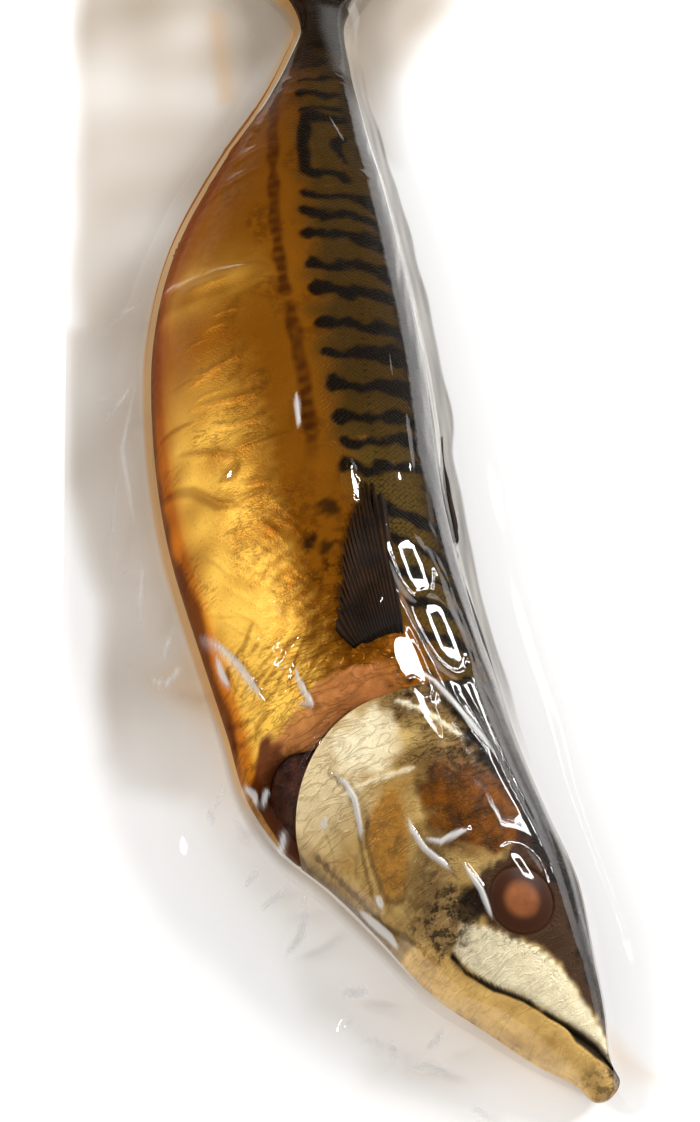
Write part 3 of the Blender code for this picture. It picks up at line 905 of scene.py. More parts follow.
# Outlines and lines of the head, as (s, b) points.
jaws = {
    "mouth": [
        (-1.0, 3.6), (5.0, 3.3), (7.4, 2.5), (11.4, 0.4), (16.9, -2.5), (21.8, -4.8), (26.8, -8.3), (32.2, -11.0),
        (35.8, -11.6),
    ],
    "lower": [
        (-2, 3.4), (5.0, 3.2), (7.4, 2.4), (11.4, 0.3), (16.9, -2.6), (21.8, -4.9), (26.8, -8.4), (35.8, -11.8),
        (42.5, -15.5), (42.0, -30), (-2, -30),
    ],
    "upper": [
        (3.0, 3.8), (7.4, 2.7), (11.4, 0.6), (16.9, -2.3), (21.8, -4.5), (26.8, -8.1), (32.2, -10.8), (36.2, -11.2),
        (39.4, -7.4), (35.7, -3.5), (30.7, 0.2), (26.4, 3.2), (22.3, 4.4), (17.4, 4.8), (10.4, 4.9), (6.0, 4.9),
    ],
    "leaf": [
        (67.4, -4.0), (67.4, -7.6), (65.4, -11.7), (62.5, -14.1), (58.0, -15.3), (51.6, -16.3), (49.6, -14.1),
        (54.0, -10.0), (58.0, -7.1), (64.0, -4.9),
    ],
    "amber": [
        (68.9, 3.5), (66.4, 10.0), (61.5, 16.5), (51.1, 17.5), (46.1, 14.6), (45.1, 5.9), (50.1, 0.0), (56.0, -2.6),
        (62.5, -1.8), (66.4, -0.4),
    ],
    "socket": [
        (43.1, -4.0), (45.6, 1.6), (45.1, 6.1), (47.1, 12.2), (52.2, 17.5), (58.0, 20.0), (44.2, 21.8),
        (27.8, 17.0), (17.3, 11.0), (9.3, 7.0), (12.8, 4.9), (22.8, 4.6), (27.2, 3.4), (31.7, -0.4), (36.2, -3.4),
        (40.7, -4.4),
    ],
    "smudge": [
        (44.6, -14.1), (47.6, -9.4), (46.6, -5.4), (42.6, -3.5), (38.7, -4.5), (35.7, -11.2), (37.7, -14.1),
        (42.1, -15.1),
    ],
    "net": [
        (84.8, 0.6), (84.8, 17.3), (75.8, 19.9), (66.4, 17.3), (62.9, 12.0), (66.4, 6.9), (67.9, 0.4), (71.4, -1.3),
        (73.9, 4.2), (78.8, 1.8), (82.3, 0.6),
    ],
    "coverWhite": [
        (83.3, -7.1), (83.9, -1.0), (79.3, 1.4), (72.9, -1.3), (71.4, -5.5), (72.4, -9.5), (75.4, -12.7),
        (80.8, -12.2),
    ],
    "wedge": [(14.0, -0.9), (9.4, 2.0), (5.0, 3.6), (2.5, 3.2), (6.0, 1.2), (10.4, -0.9)],
    "whiteRidge": [(82.3, 4.2), (78.8, 8.1), (71.4, 12.6)],
    "plateLine": [(75.9, -14.3), (72.4, -12.9), (68.9, -12.9), (65.0, -13.6), (61.0, -15.8), (54.0, -18.0)],
    "veinLine": [(70.9, -12.9), (70.4, -7.1), (68.9, 0.4)],
    "branchLine": [(66.0, -23.0), (58.0, -20.5), (48.5, -18.5), (42.5, -16.0)],
    "creaseLines": [
        [(67.0, -19.8), (60.9, -21.2), (57.5, -21.6)],
        [(62, -18), (56, -18.5), (50, -19)],
        [(60, -9), (54, -12), (49, -13)],
        [(66, 0), (60, -3), (55, -3), (52, -7)],
        [(30, -17), (22, -14), (14, -9)],
        [(36, -20), (28, -19), (20, -14)],
        [(57, 12), (60, 5), (66, 3)],
        [(50, -6), (46, -9), (43, -14)],
    ],
    "ledgeLine": [(73.9, -27.0), (66.0, -25.0), (60.0, -24.5)],
}

headPiece = {"rows": 318, "around": 264, "tip": 1.2, "noseRows": 9, "noseLong": 2.4, "lipRows": 9, "lipThick": 0.9}


def headLift(s, b, v):
    eye = np.hypot(s - fish["eye"][0], b - fish["eye"][1])
    behind = s - gillLine(v)
    lift = 0.7 * np.exp(np.minimum(behind, 0) / 8.0) * smooth(0.6, 0.1, v)
    lift = lift + 0.35 * bump(eye, 8.5) - 0.9 * (1 - smooth(5.8, 7.0, eye))
    lift = lift - 1.25 * bump(lineDistance(s, b, jaws["mouth"]), 0.5)
    plates = (("wedge", -0.8, 0.5), ("upper", 0.55, 0.7), ("leaf", 0.30, 0.7), ("socket", -0.30, 1.5))
    for name, height, edge in plates:
        lift = lift + height * insideShape(s, b, jaws[name], edge)
    grooves = (
        ("plateLine", 0.30), ("veinLine", -0.25), ("branchLine", 0.35), ("ledgeLine", 0.35), ("whiteRidge", -0.35),
    )
    for name, depth in grooves:
        lift = lift - depth * bump(lineDistance(s, b, jaws[name]), 0.6)
    net = insideShape(s, b, jaws["net"], 2.0)
    return lift + 0.20 * net * ridges(s, b, 1.9, 1.9, 8.0, 42) + 0.10 * softField(s, b, 8.0, 43)


def headMasks(s, b, v):
    # Where each colour of the head lies. The blotches' outlines are pulled about by soft fields, the plates' aren't.
    wander = softField(s, b, 6.0, 51)
    aw = s + 0.8 * wander
    bw = b + 0.8 * softField(s, b, 5.0, 52)
    rough = softField(s, b, 2.4, 53)

    def blotch(outline, edge):
        return insideShape(aw, bw, outline, edge)

    def drawn(name, low, high, jitter):
        return onLine(s, b, jaws[name], low, high, jitter * rough)

    jaw = insideShape(s, b, jaws["lower"], 0.5)
    backLine = curveThrough(
        [0, 10, 21, 32, 44, 54, 66, 78, 90], [4.6, 6.2, 9.0, 13.0, 13.0, 15.4, 13.6, 13.0, 14.0], s,
    )
    masks = {
        "silver": most(
            0.95 * insideShape(s, b + 0.25 * rough, jaws["upper"], 0.8),
            0.9 * blotch(jaws["coverWhite"], 2.5),
            0.45 * smooth(60, 74, aw) * smooth(-6, -14, bw),
        ),
        "jaw": jaw,
        "ochre": 0.85 * insideShape(s + 0.3 * rough, b + 0.4 * rough, jaws["leaf"], 1.1),
        "amber": blotch(jaws["amber"], 2.0),
        "olive": most(
            0.8 * blotch(jaws["net"], 2.5),
            blotch([(72, 8), (70, 22), (50, 22), (45, 14), (56, 15), (64, 13)], 2.0),
            0.7 * blotch([(62, 0), (55, -9), (47, -16), (44, -12), (48, -4), (56, 1)], 2.0),
        ),
        # dark: the back's own black edge, with painted shade in the mouth slit and in the sunken wedge at the mouth's
        # corner.
        "dark": most(
            smooth(-1.4, 1.4, b - backLine + 0.7 * wander + 0.4 * rough),
            onLine(s, b, jaws["mouth"], 0.18, 0.6, 0.10 * wander),
            insideShape(s, b, jaws["wedge"], 0.5),
            0.85 * blotch([(40.5, -8.5), (44.5, -4.5), (42.5, 0.0), (38.0, -2.0), (37.0, -5.5)], 1.0),
            0.8 * smooth(5.0, 1.5, s) * smooth(1.0, 2.4, b),
        ),
        "smudge": most(
            0.95 * blotch(jaws["smudge"], 1.6),
            0.55 * bump(np.hypot((aw - 42) / 9.0, (bw + 11.0) / 6.5), 1.0),
            0.7 * smooth(9.0, 1.5, s) * smooth(-5.5, -2.0, b),
            0.6 * blotch([(70, 4), (72, 10), (66, 15), (62, 12), (66, 3)], 2.0),
            0.8 * smooth(76, 83, s + wander) * smooth(0, 7, b),
            0.6 * blotch([(67, 11), (66, 17), (56, 18), (60, 12)], 2.0),
            0.5 * blotch([(56, -1), (52, -9), (46, -13), (40, -14), (44, -4), (50, 1)], 2.5),
        ),
        "net": most(
            blotch(jaws["net"], 2.5),
            0.75 * onLine(s, b, [(37.5, -9.5), (35.7, -4.0), (30.7, -0.6), (25.8, 2.8)], 0.0, 2.6),
            0.8 * blotch(jaws["smudge"], 2.5),
            0.10 * insideShape(s, b, jaws["upper"], 0.8),
        ),
        "fibre": most(smooth(48, 60, s) * smooth(4, -2, b), 0.5 * jaw),
        # grooveShade: painted shade in the plates' grooves, along the leaf plate's lower edge, in the drawn crease
        # lines and along the head's belly edge.
        "grooveShade": most(
            0.75 * onLine(s, b, jaws["leaf"][2:7], 0.1, 0.8, 0.2 * rough),
            *[0.34 * onLine(aw, bw, line, 0.05, 0.7, 0.3 * rough) for line in jaws["creaseLines"]],
            0.7 * drawn("plateLine", 0.15, 0.7, 0.15),
            0.8 * drawn("branchLine", 0.15, 0.7, 0.15),
            0.9 * drawn("ledgeLine", 0.15, 0.7, 0.15),
            0.8 * smooth(0.93, 1.0, np.abs(v)) * (v < 0) * smooth(40, 52, s),
        ),
        # bright: painted highlight along the two raised ridges of the cover.
        "bright": most(0.9 * drawn("whiteRidge", 0.1, 0.9, 0.2), 0.6 * drawn("veinLine", 0.1, 0.9, 0.2)),
        "socket": insideShape(s + 0.4 * rough, b + 0.3 * wander, jaws["socket"], 1.0),
    }
    return {name: np.clip(mask, 0, 1) for name, mask in masks.items()}


def buildHead(material):
    print("head")
    theta = np.linspace(0, 2 * np.pi, headPiece["around"], endpoint=False)
    vEdge = -np.cos(theta)
    tip, thick = headPiece["tip"], headPiece["lipThick"]
    end = gillLine(vEdge) + 0.2 * smooth(0.1, 0.4, vEdge)
    s = tip + (end - tip) * np.linspace(0, 1, headPiece["rows"])[:, None] ** 1.06
    v, b, z = section(s, theta)
    lift = headLift(s, b, v) * sideUp(theta)
    z = z + lift

    # The snout is a rounded cap, and the gill cover's rear edge turns inwards as a thin lip.
    size = np.sin(np.linspace(0.12, 1.0, headPiece["noseRows"], endpoint=False) * np.pi / 2)[:, None]
    sNose = tip - headPiece["noseLong"] * np.sqrt(np.clip(1 - size**2, 0, 1)) + 0 * theta
    centreZ = 0.5 * (z[0].max() + z[0].min())
    cap = placed(sNose, b[0] * size, centreZ + (z[0] - centreZ) * size)
    turn = np.linspace(0.15, 1.0, headPiece["lipRows"])[:, None]
    curl = np.pi * np.minimum(turn * 1.6, 1.0)
    inwards = thick * (1 - np.cos(curl)) * 0.5 + 1.4 * smooth(0.6, 1.0, turn)
    sLip = end + 0.5 * thick * np.sin(curl) - 7.0 * smooth(0.5, 1.0, turn)
    vLip, bLip, zLip = section(sLip, theta)
    middle = 0.5 * (station("top", sLip) + 1.0)
    shrink = 1 - inwards / 22.0
    zLip = middle + (zLip - middle) * shrink + lift[-1:] * (1 - smooth(0.5, 1.0, turn))
    mesh = closedTube("fishHead", np.concatenate([cap, placed(s, b, z), placed(sLip, bLip * shrink, zLip)]))

    sAll = np.concatenate([sNose, s, sLip]).ravel()
    bAll = np.concatenate([b[0] * size, b, bLip]).ravel()
    vAll = np.concatenate([v[0] + 0 * sNose, v, vLip]).ravel()
    putAttributes(mesh, headMasks(sAll, bAll, vAll), 2)
    putUv(mesh, np.append(sAll, [0, 80]) / 100, np.append(bAll, [0, 0]) / 100)
    turnOutward(mesh)
    addPiece("fishHead", mesh, material)


gillPiece = {"from": 52, "to": 108, "rows": 90, "around": 180, "inset": 2.2}


def buildGillFlesh(material):
    # A closed tube inside the gap between head and body, smaller than both, with folds that run across it.
    print("gill flesh")
    theta = np.linspace(0, 2 * np.pi, gillPiece["around"], endpoint=False)
    s = np.linspace(gillPiece["from"], gillPiece["to"], gillPiece["rows"])[:, None] + 0 * theta
    _, b, z = section(s, theta, gillPiece["inset"])
    z = z + (0.9 * ridges(s, b, 1.35, 4.5, 14.0, 61) + 0.4 * softField(s, b, 6.0, 62)) * sideUp(theta)
    ends = np.minimum(smooth(50, 60, s), smooth(110, 98, s)) ** 0.5
    middle = 0.5 * (station("top", s) + 1.0)
    mesh = closedTube("gillFlesh", placed(s, b * ends, middle + (z - middle) * ends))
    turnOutward(mesh)
    addPiece("gillFlesh", mesh, material)


eyePiece = {
    "radius": 7.0,
    "pupil": (0.30, 0.105, 0.036),
    "pupilDeep": (0.20, 0.062, 0.020),
    "iris": (0.050, 0.017, 0.008),
    "ring": (0.085, 0.036, 0.016),
    "roughness": 0.4,
    "gloss": 0.1,
    "rows": 26,
    "around": 56,
}


def eyeMaterial():
    material, paint, shader = newMaterial("cloudyEye")
    tone = paint.group("patchyTone", size=4.0, contrast=1.2)["tone"]
    colour = paint.mixColour(tone, eyePiece["pupil"], eyePiece["pupilDeep"])
    colour = paint.mixColour(paint.mask("iris"), colour, eyePiece["iris"])
    colour = paint.mixColour(paint.mask("rim"), colour, eyePiece["ring"])
    paint.surface(shader, colour, eyePiece["roughness"], eyePiece["gloss"])
    return material


def buildEye(material, name, side):
    # A low dome over the socket: its height falls with the square of the distance from the lens's middle.
    r = np.linspace(0, 1, eyePiece["rows"])[1:, None]
    turn = np.linspace(0, 2 * np.pi, eyePiece["around"], endpoint=False)
    s = fish["eye"][0] + r * eyePiece["radius"] * np.cos(turn)
    b = fish["eye"][1] + r * eyePiece["radius"] * np.sin(turn)
    width = np.where(b > 0, station("toBack", s), station("toBelly", s))
    theta = np.arccos(np.clip(-b / width, -1, 1))
    z = section(s, theta if side > 0 else 2 * np.pi - theta)[2]
    lift = -0.45 + 0.75 * (1 - r**2) - 0.9 * smooth(0.88, 1.0, r)
    grid = placed(s, b, z + side * np.where(side > 0, lift, 0.4 * lift) + 0 * turn)
    low = grid.copy()
    low[..., 2] = low[..., 2] - side * (1.0 + 0.6 * (1 - r**2))
    mesh = closedTube(name, np.concatenate([grid, low[::-1]]))
    both = np.concatenate([r + 0 * turn, (r + 0 * turn)[::-1]])
    putAttributes(mesh, {"iris": smooth(0.34, 0.62, both), "rim": 0.4 * bump(both - 0.90, 0.07)}, 2)
    turnOutward(mesh)
    addPiece(name, mesh, material)


def topOf(s, b):  # height of the fish's upper side at a point of it
    back, belly = halfWidths(s)
    return section(s, np.arccos(np.clip(-b / np.where(b > 0, back, belly), -0.999, 0.999)))[2]


def closedSheet(name, upperGrid, lowerGrid, material, attributes):
    # Two grids of the same size, joined all round their border into one thin closed body.
    rows, columns = upperGrid.shape[:2]
    count = rows * columns
    points = np.concatenate([upperGrid.reshape(-1, 3), lowerGrid.reshape(-1, 3)])
    top = gridFaces(rows, columns)
    index = np.arange(count).reshape(rows, columns)
    loop = np.concatenate([index[0, :-1], index[:-1, -1], index[-1, :0:-1], index[:0:-1, 0]])
    side = np.stack([loop, np.roll(loop, -1), np.roll(loop, -1) + count, loop + count], -1)
    mesh = makeMesh(name, points, [top, top[:, ::-1] + count, side])
    for key, values in attributes.items():
        putAttribute(mesh, key, np.concatenate([values.ravel(), values.ravel()]))
    turnOutward(mesh)
    addPiece(name, mesh, material)


pectoral = {
    "rays": 19,
    "thick": 0.5,
    "rows": 90,
    "columns": 190,
    "rearAt": [0, 0.15, 0.32, 0.5, 0.7, 0.88, 1.0],
    "rear": [(101.0, -2.2), (109.0, 0.6), (116.0, 3.4), (123.0, 6.4), (129.5, 10.2), (134.5, 13.6), (128.0, 16.2)],
}


def buildPectoral(material):
    # Rays fan out from the root. Each ray's length follows the fin's outline, ragged along the rear edge.
    print("fins")
    along = np.linspace(0, 1, pectoral["rows"])[:, None]
    across = np.linspace(0, 1, pectoral["columns"])
    marks = pectoral["rays"] + 1
    ray = across * pectoral["rays"]
    tooth = (np.abs((ray % 1.0) - 0.5) * 2)[:, None]
    cut = (np.interp(ray, np.arange(marks), np.random.default_rng(71).uniform(-1, 1, marks)) ** 2)[:, None]
    endLine = curveThrough(pectoral["rearAt"], pectoral["rear"], across)
    raggedness = (smooth(1.0, 0.85, across) * smooth(0.0, 0.1, across))[:, None]
    inner = np.array([96.0, 0.0]) + np.array([-1.0, 10.5]) * across[:, None]
    outer = inner + (endLine - inner) * (1.05 - raggedness * (0.30 * tooth**1.5 + 0.20 * cut))
    path = inner + (outer - inner) * along[..., None]
    s = path[..., 0]
    b = path[..., 1] + 0.9 * np.sin(np.pi * along) * (across - 0.2)
    z = topOf(s, b) + 0.60 + 0.18 * np.abs(np.sin(np.pi * ray)) - 0.9 * smooth(0.12, 0.0, along)
    upperGrid = placed(s, b, z)
    lowerGrid = upperGrid - [0, 0, pectoral["thick"]]
    rays = np.broadcast_to(np.abs(np.sin(np.pi * ray)) ** 2, s.shape) * smooth(0.05, 0.4, along)
    closedSheet("pectoralFin", upperGrid, lowerGrid, material, {"ray": rays})


def buildSpines(material):
    # The folded first dorsal fin: thin spines that lie along the back's edge and point to the tail.
    # Each is a tapering rod: its start, its tip, and how far it stands off the edge.
    spines = [
        (124.0, 150.0, 0.2), (127.0, 158.5, 1.6), (131.0, 154.0, 0.9), (121.0, 144.0, -0.6), (134.0, 149.0, -1.6),
    ]
    along = np.linspace(0, 1, 40)[:, None]
    turn = np.linspace(0, 2 * np.pi, 12, endpoint=False)
    for k, (first, tip, off) in enumerate(spines):
        s = first + (tip - first) * along
        edge = station("toBack", s) - 1.0
        b = edge + off * along + 0.5 * np.sin(5 * along + k)
        radius = 0.10 + 1.05 * (1 - along) ** 0.8 * smooth(0.0, 0.10, along) + 0.35 * bump(along - 0.55, 0.12)
        z = station("seam", s) + 1.2 - 0.6 * k + 0.8 * np.sin(3 * along + k)
        grid = placed(s, b + radius * np.cos(turn), z + 0.6 * radius * np.sin(turn))
        mesh = closedTube("dorsalSpine%d" % k, grid)
        putAttribute(mesh, "ray", np.append(np.repeat(along.ravel(), len(turn)), [0, 1]))
        turnOutward(mesh)
        addPiece("dorsalSpine%d" % k, mesh, material)


def buildEdgeFin(name, material, baseFrom, baseTo, spines, reach, lean, side, ragged):
    # A fin folded along the edge: spines rise from the base and lean to the tail, with a web that dips between them.
    across = np.linspace(0, 1, spines * 8 + 1)
    along = np.linspace(0, 1, 14)[:, None]
    base = baseFrom + (baseTo - baseFrom) * across
    edge = station("toBack", base) * 0.93 if side > 0 else station("toBelly", base) - 2.0
    between = np.abs(np.sin(np.pi * across * spines))
    tall = reach * (1 - 0.75 * across) * (1 - ragged * between)
    s = base + lean * tall * along
    b = side * (edge - 1.5 + (1.5 + 0.45 * tall) * along)
    z = station("seam", base) - 1.0 + 3.0 * (1 - along) + 0 * s
    thick = 0.45 * (1 - 0.6 * along) + 0 * s
    rays = {"ray": np.broadcast_to(1 - between, s.shape)}
    closedSheet(name, placed(s, b, z + thick), placed(s, b, z - thick), material, rays)


tail = {"root": 292.0, "fork": 322.0, "lobe": 17.0, "rays": 14, "rootHalf": 5.0}


def buildTail(material):
    # Two lobes of rays that open from the root; the rear edge is forked.
    across = np.linspace(-1, 1, 161)
    along = np.linspace(0, 1, 70)[:, None]
    endS = tail["fork"] + tail["lobe"] * np.abs(across) ** 1.3
    endB = across * (curveThrough(fish["stations"], fish["toBack"], endS) - 1.0)
    s = tail["root"] + (endS - tail["root"]) * along
    b = across * tail["rootHalf"] + (endB - across * tail["rootHalf"]) * along**1.7
    rays = np.abs(np.sin(across * np.pi * tail["rays"]))
    z = station("top", s) - 0.8 - 2.2 * np.abs(across) * (1 - along) - 1.2 * along
    z = z + 0.25 * rays * smooth(0.1, 0.5, along)
    thick = 0.5 + 4.0 * (1 - along) ** 2
    lower = placed(s, b, np.maximum(0.8, z - thick))
    closedSheet("tailFin", placed(s, b, z), lower, material, {"ray": rays * smooth(0.1, 0.4, along)})


# Creases that stand on the film only: a line of (s, b) points, height and half width.
filmCreases = [
    (
        [(122.0, 13.0), (114.0, 12.4), (104.1, 12.2), (94.2, 13.6), (81.8, 14.1), (71.4, 15.1), (62.0, 16.8)], 0.60,
        0.60,
    ),
    ([(90.7, 7.6), (84.0, 12.6), (77.8, 14.7), (69.4, 16.7), (60.5, 17.7)], 0.55, 0.55),
    (
        [
            (140.0, 28.5), (111.6, 26.4), (98.7, 26.2), (81.8, 25.6), (60.5, 22.6), (41.2, 18.7), (31.2, 15.1),
            (15.0, 9.6),
        ],
        0.7, 0.8,
    ),
    ([(118.0, 22.4), (100.0, 22.6), (84.0, 21.4), (66.0, 19.4), (50.0, 17.4), (38.0, 14.4)], 0.7, 0.9),
    ([(80.0, 17.2), (66.0, 17.6), (56.0, 16.6), (46.0, 15.6), (36.0, 13.2), (24.0, 9.6)], 0.8, 1.0),
    ([(172.5, 22.8), (163.1, 22.8)], 0.45, 0.4),
    ([(154.7, 24.9), (137.8, 24.0)], 0.45, 0.4),
    ([(252.0, 7.0), (241.0, 12.5)], 0.5, 0.45),
    ([(196.6, -18.0), (195.2, -11.5), (195.0, -8.5), (196.4, -4.0)], 0.5, 0.5),
    ([(197.6, -29.0), (196.2, -24.0), (196.0, -19.0)], 0.4, 0.5),
    ([(159.7, 1.3), (148.3, 0.8)], 0.4, 0.5),
    ([(56.7, -5.9), (53.6, -2.7), (53.2, 1.7), (52.4, 3.9)], 0.95, 0.75),
    ([(62.5, -5.0), (58.4, -6.1), (54.1, -5.9), (50.6, -4.7), (46.4, -3.5)], 0.90, 0.65),
    ([(49.1, -1.3), (42.1, -1.1), (35.2, -2.6)], 0.90, 0.70),
    ([(62.5, 17.7), (49.1, 16.3), (42.6, 15.3), (33.7, 13.0)], 0.5, 0.6),
    ([(75.5, -14.5), (72.5, -12.7), (69.1, -12.5), (64.4, -14.1), (61.4, -15.7)], 0.90, 0.60),
    ([(69.5, -18.4), (68.2, -20.6)], 0.8, 0.7),
    ([(55.8, -21.8), (50.2, -20.2), (46.4, -19.2), (42.5, -19.0)], 0.9, 0.7),
    ([(53.6, -17.5), (50.6, -17.9)], 0.7, 0.6),
    ([(114.6, -28.6), (109.0, -25.0), (103.0, -22.6), (97.4, -21.2), (93.6, -20.4)], 0.75, 0.8),
    ([(109.0, -26.4), (104.7, -26.4), (100.4, -25.6)], 0.5, 0.6),
    ([(98.3, -12.1), (94.8, -12.9), (91.4, -12.7), (88.4, -12.3), (91.4, -16.9)], 0.7, 0.6),
    ([(83.7, -30.2), (81.1, -28.6), (79.0, -29.0)], 0.9, 0.6),
    ([(73.0, -26.2), (71.2, -27.8), (70.4, -30.8)], 0.9, 0.6),
    ([(78.1, -28.4), (79.8, -26.6), (79.8, -25.6)], 0.7, 0.5),
    ([(34.0, -17.5), (23.2, -9.5), (11.2, -4.3)], 0.4, 0.6),
]

# Places where the taut film is nearly flat and shows a lamp: (s, b), half length along the fish, half width, slopes
# along and across the fish, how far it has dropped at the half length and the half width, and its rise.
filmSwells = [
    (111.6, 18.0, 9.0, 4.4, 0.20, -0.47, 0.82, 0.62, 0.35),
    (94.2, 18.9, 10.0, 4.4, 0.19, -0.45, 0.85, 0.60, 0.35),
    (89.0, 9.0, 7.5, 3.2, 0.09, -0.46, 0.02, 0.10, 0.60),
    (133.5, 10.4, 6.0, 1.2, 0.20, -0.43, 0.10, 0.02, 0.30),
    (78.0, 8.2, 6.5, 1.8, 0.17, -0.36, 0.06, 0.04, 0.25),
    (41.8, 8.6, 6.0, 5.0, 0.15, -0.40, 0.75, 1.60, 0.50),
]


def coverStep(s, b, v):
    # Height that the film takes from what lies under it: the gill cover's edge, the gap behind it, the body's front
    # rim, the mouth and the fin on the side.
    gap = gapBehind(v)
    behind = s - gillLine(v)
    lift = 0.7 * np.exp(np.minimum(behind, 0) / 8.0) * smooth(0.6, 0.1, v) * (1 - smooth(0, 2.0, behind))
    lift = lift - 1.2 * smooth(0.0, 1.8, behind) * (1 - smooth(
        gap - 1.0, gap + 2.5, behind,
    )) * smooth(0.35, -0.15, v)
    lift = lift + 0.8 * bump(behind - gap - 5.0, 3.4) * smooth(0.35, -0.2, v)
    lift = lift - 0.5 * bump(lineDistance(s, b, jaws["mouth"]), 0.9)
    finAcross, finAlong = segmentDistance(s, b, (94.0, 6.0), (134.0, 13.0))
    return lift + 0.75 * (1 - smooth(4.5, 7.5, finAcross + 2.0 * finAlong**2))


def filmMasks(s, b, v):
    # The taut film over the belly and the cheek hardly mirrors; its creases do.
    dull = most(smooth(-0.35, -0.75, v) * smooth(50, 70, s), bump(np.hypot((s - 64) / 15, (b - 12) / 7), 1.0))
    dull = most(dull, 0.55 * most(smooth(0.70, 0.82, v) * smooth(80, 60, s), smooth(255, 275, s)))
    flat = smooth(0.30, 0.08, creaseHeight(s, b, filmCreases))
    shine = 1 - (1 - film["bellyShine"]) * np.clip(1.3 * dull, 0, 1) * flat
    # Beside the back the film stands off the skin; its silvery look is painted reflection, a white haze with darker
    # lines along the fish.
    streaks = 0.5 + 0.5 * softField(s * 0.12, b, 2.6, 87)
    silver = smooth(0.84, 0.90, v + 0.02 * streaks) * smooth(60, 105, s) * smooth(268, 235, s)
    silver = silver * (0.05 + 0.17 * streaks)
    # tailGlintSpot: a faint painted reflection, a patch of white haze on the film near the tail.
    tailGlintSpot = [(298, 0), (290, 0.5), (280, 4), (272, 6.5), (273, 10.5), (285, 8.0), (298, 5)]
    # crestGlint: painted highlight, a white haze along the crests of the film's creases on the belly and cheek.
    onBelly = [line for line, _, _ in filmCreases if line[0][1] < 8.0 and 35 < line[0][0] < 185]
    crestGlint = smooth(0.5, 0.8, creaseHeight(s, b, [(line, 1.0, 0.75) for line in onBelly]))
    edgeFrom = -0.84 + 0.20 * smooth(185, 240, s)
    bellyEdge = smooth(edgeFrom, edgeFrom - 0.06, v) * smooth(-0.2, 20, s)
    return {
        "hazeAndGlint": most(silver, 0.07 * insideShape(s, b, tailGlintSpot, 2.0), 0.7 * crestGlint),
        "outline": np.zeros(s.size),
        "oil": 0.85 * bellyEdge * smooth(72, 92, s),
        # shadeTint on the fish: painted shade at the belly's edge, where the film is also browner, and along the
        # back's edge.
        "shadeTint": most(bellyEdge * (0.25 + 0.70 * smooth(60, 85, s)), 0.9 * smooth(0.93, 0.97, v)),
        "seal": np.zeros(s.size),
        "shine": shine * (1 - 0.75 * silver),
    }


def buildFilm(material):
    # The upper film follows the fish and has creases of its own. Beside the back it leaves the fish early and runs
    # straight to the outline.
    print("film")
    rows, columns = film["rows"], film["columns"]
    front = np.linspace(0, film["denseTo"], rows // 2, endpoint=False)
    u = np.append(front, np.linspace(film["denseTo"], film["end"], rows - rows // 2))
    v = np.sin(film["spread"] * np.linspace(-1, 1, columns)) / np.sin(film["spread"])
    u, v = np.meshgrid(u, v, indexing="ij")
    share = np.abs(v)
    s = u + 4.0 * share**2.2 * (1 - smooth(0, 24, u))
    nearGill = smooth(30, fish["gillEdge"], u) - smooth(fish["gillEdge"], 140, u)
    s = s + (gillLine(v) - fish["gillEdge"]) * nearGill + 18.0 * share**1.3 * smooth(272, film["end"], u)
    b = v * np.where(v > 0, station("toBack", s), station("toBelly", s))
    seam = station("seam", s)
    arch = np.where(v > 0, (1 - share**2.3) ** 0.5, (1 - v**2) ** 0.62)
    leave = film["leave"]
    straight = (1 - leave**2.3) ** 0.5 * (1 - share) / (1 - leave)
    tent = smooth(60, 115, s) * (1 - smooth(262, 290, s))
    arch = np.where(v > leave, arch + (straight - arch) * tent * smooth(leave, leave + 0.05, share), arch)
    loose = strewn(12, (64, 138, 19, 29), 0.12, 0.2, 16.0, 0.28, 0.7, 85)
    loose += strewn(14, (20, 78, -22, 16), 0.9, 0.8, 8.0, 0.16, 0.6, 86)
    strip = smooth(leave, leave + 0.06, v) * tent
    lift = coverStep(s, b, v) + strip * (0.5 * softField(s, b, 40.0, 89) + 0.3 * softField(s, b, 16.0, 90))
    lift = lift + pressedHeight(s, b) + creaseHeight(s, b, filmCreases + loose) + 0.06 * softField(s, b, 26.0, 88)
    lift = lift * smooth(-0.2, 14.0, s - 4.0 * share**2.2) * smooth(1.0, 0.93, share)
    z = seam + 0.45 + (station("top", s) - seam) * arch + lift
    for at, across, halfLong, halfWide, slopeS, slopeB, dropS, dropB, rise in filmSwells:
        da, db = s - at, b - across
        here = z.ravel()[np.argmin(np.hypot(da, db))] + rise
        facet = here + slopeS * da + slopeB * db - dropS * (da / halfLong) ** 2 - dropB * (db / halfWide) ** 2
        z = z + (facet - z) * smooth(1.25, 0.80, np.hypot(da / halfLong, db / halfWide))
    points = placed(s, b, z)
    index = np.arange(s.size).reshape(s.shape)
    faces = np.stack([index[:-1, :-1], index[:-1, 1:], index[1:, 1:], index[1:, :-1]], -1)
    over = makeMesh("filmOverFish", points.reshape(-1, 3), [faces.reshape(-1, 4)])
    putAttributes(over, filmMasks(s, b, v))
    overPiece = addPiece("filmOverFish", over, material)

    # The margin starts on the film's own border. The anchors are the four places that belong to the pouch's corners.
    loop = np.concatenate([index[0, :], index[1:, -1], index[-1, -2::-1], index[-2:0:-1, 0]])
    anchors = [columns // 2 + 12, columns - 1 + rows - 7, 2 * (columns - 1) + rows + 6]
    anchors.append(len(loop) - int(np.argmin(np.abs(s[:, 0] - 28.0))))
    buildMargin(material, points.reshape(-1, 3)[loop], anchors)
    buildUnderFilm(material, s, v, points, seam)
    return overPiece


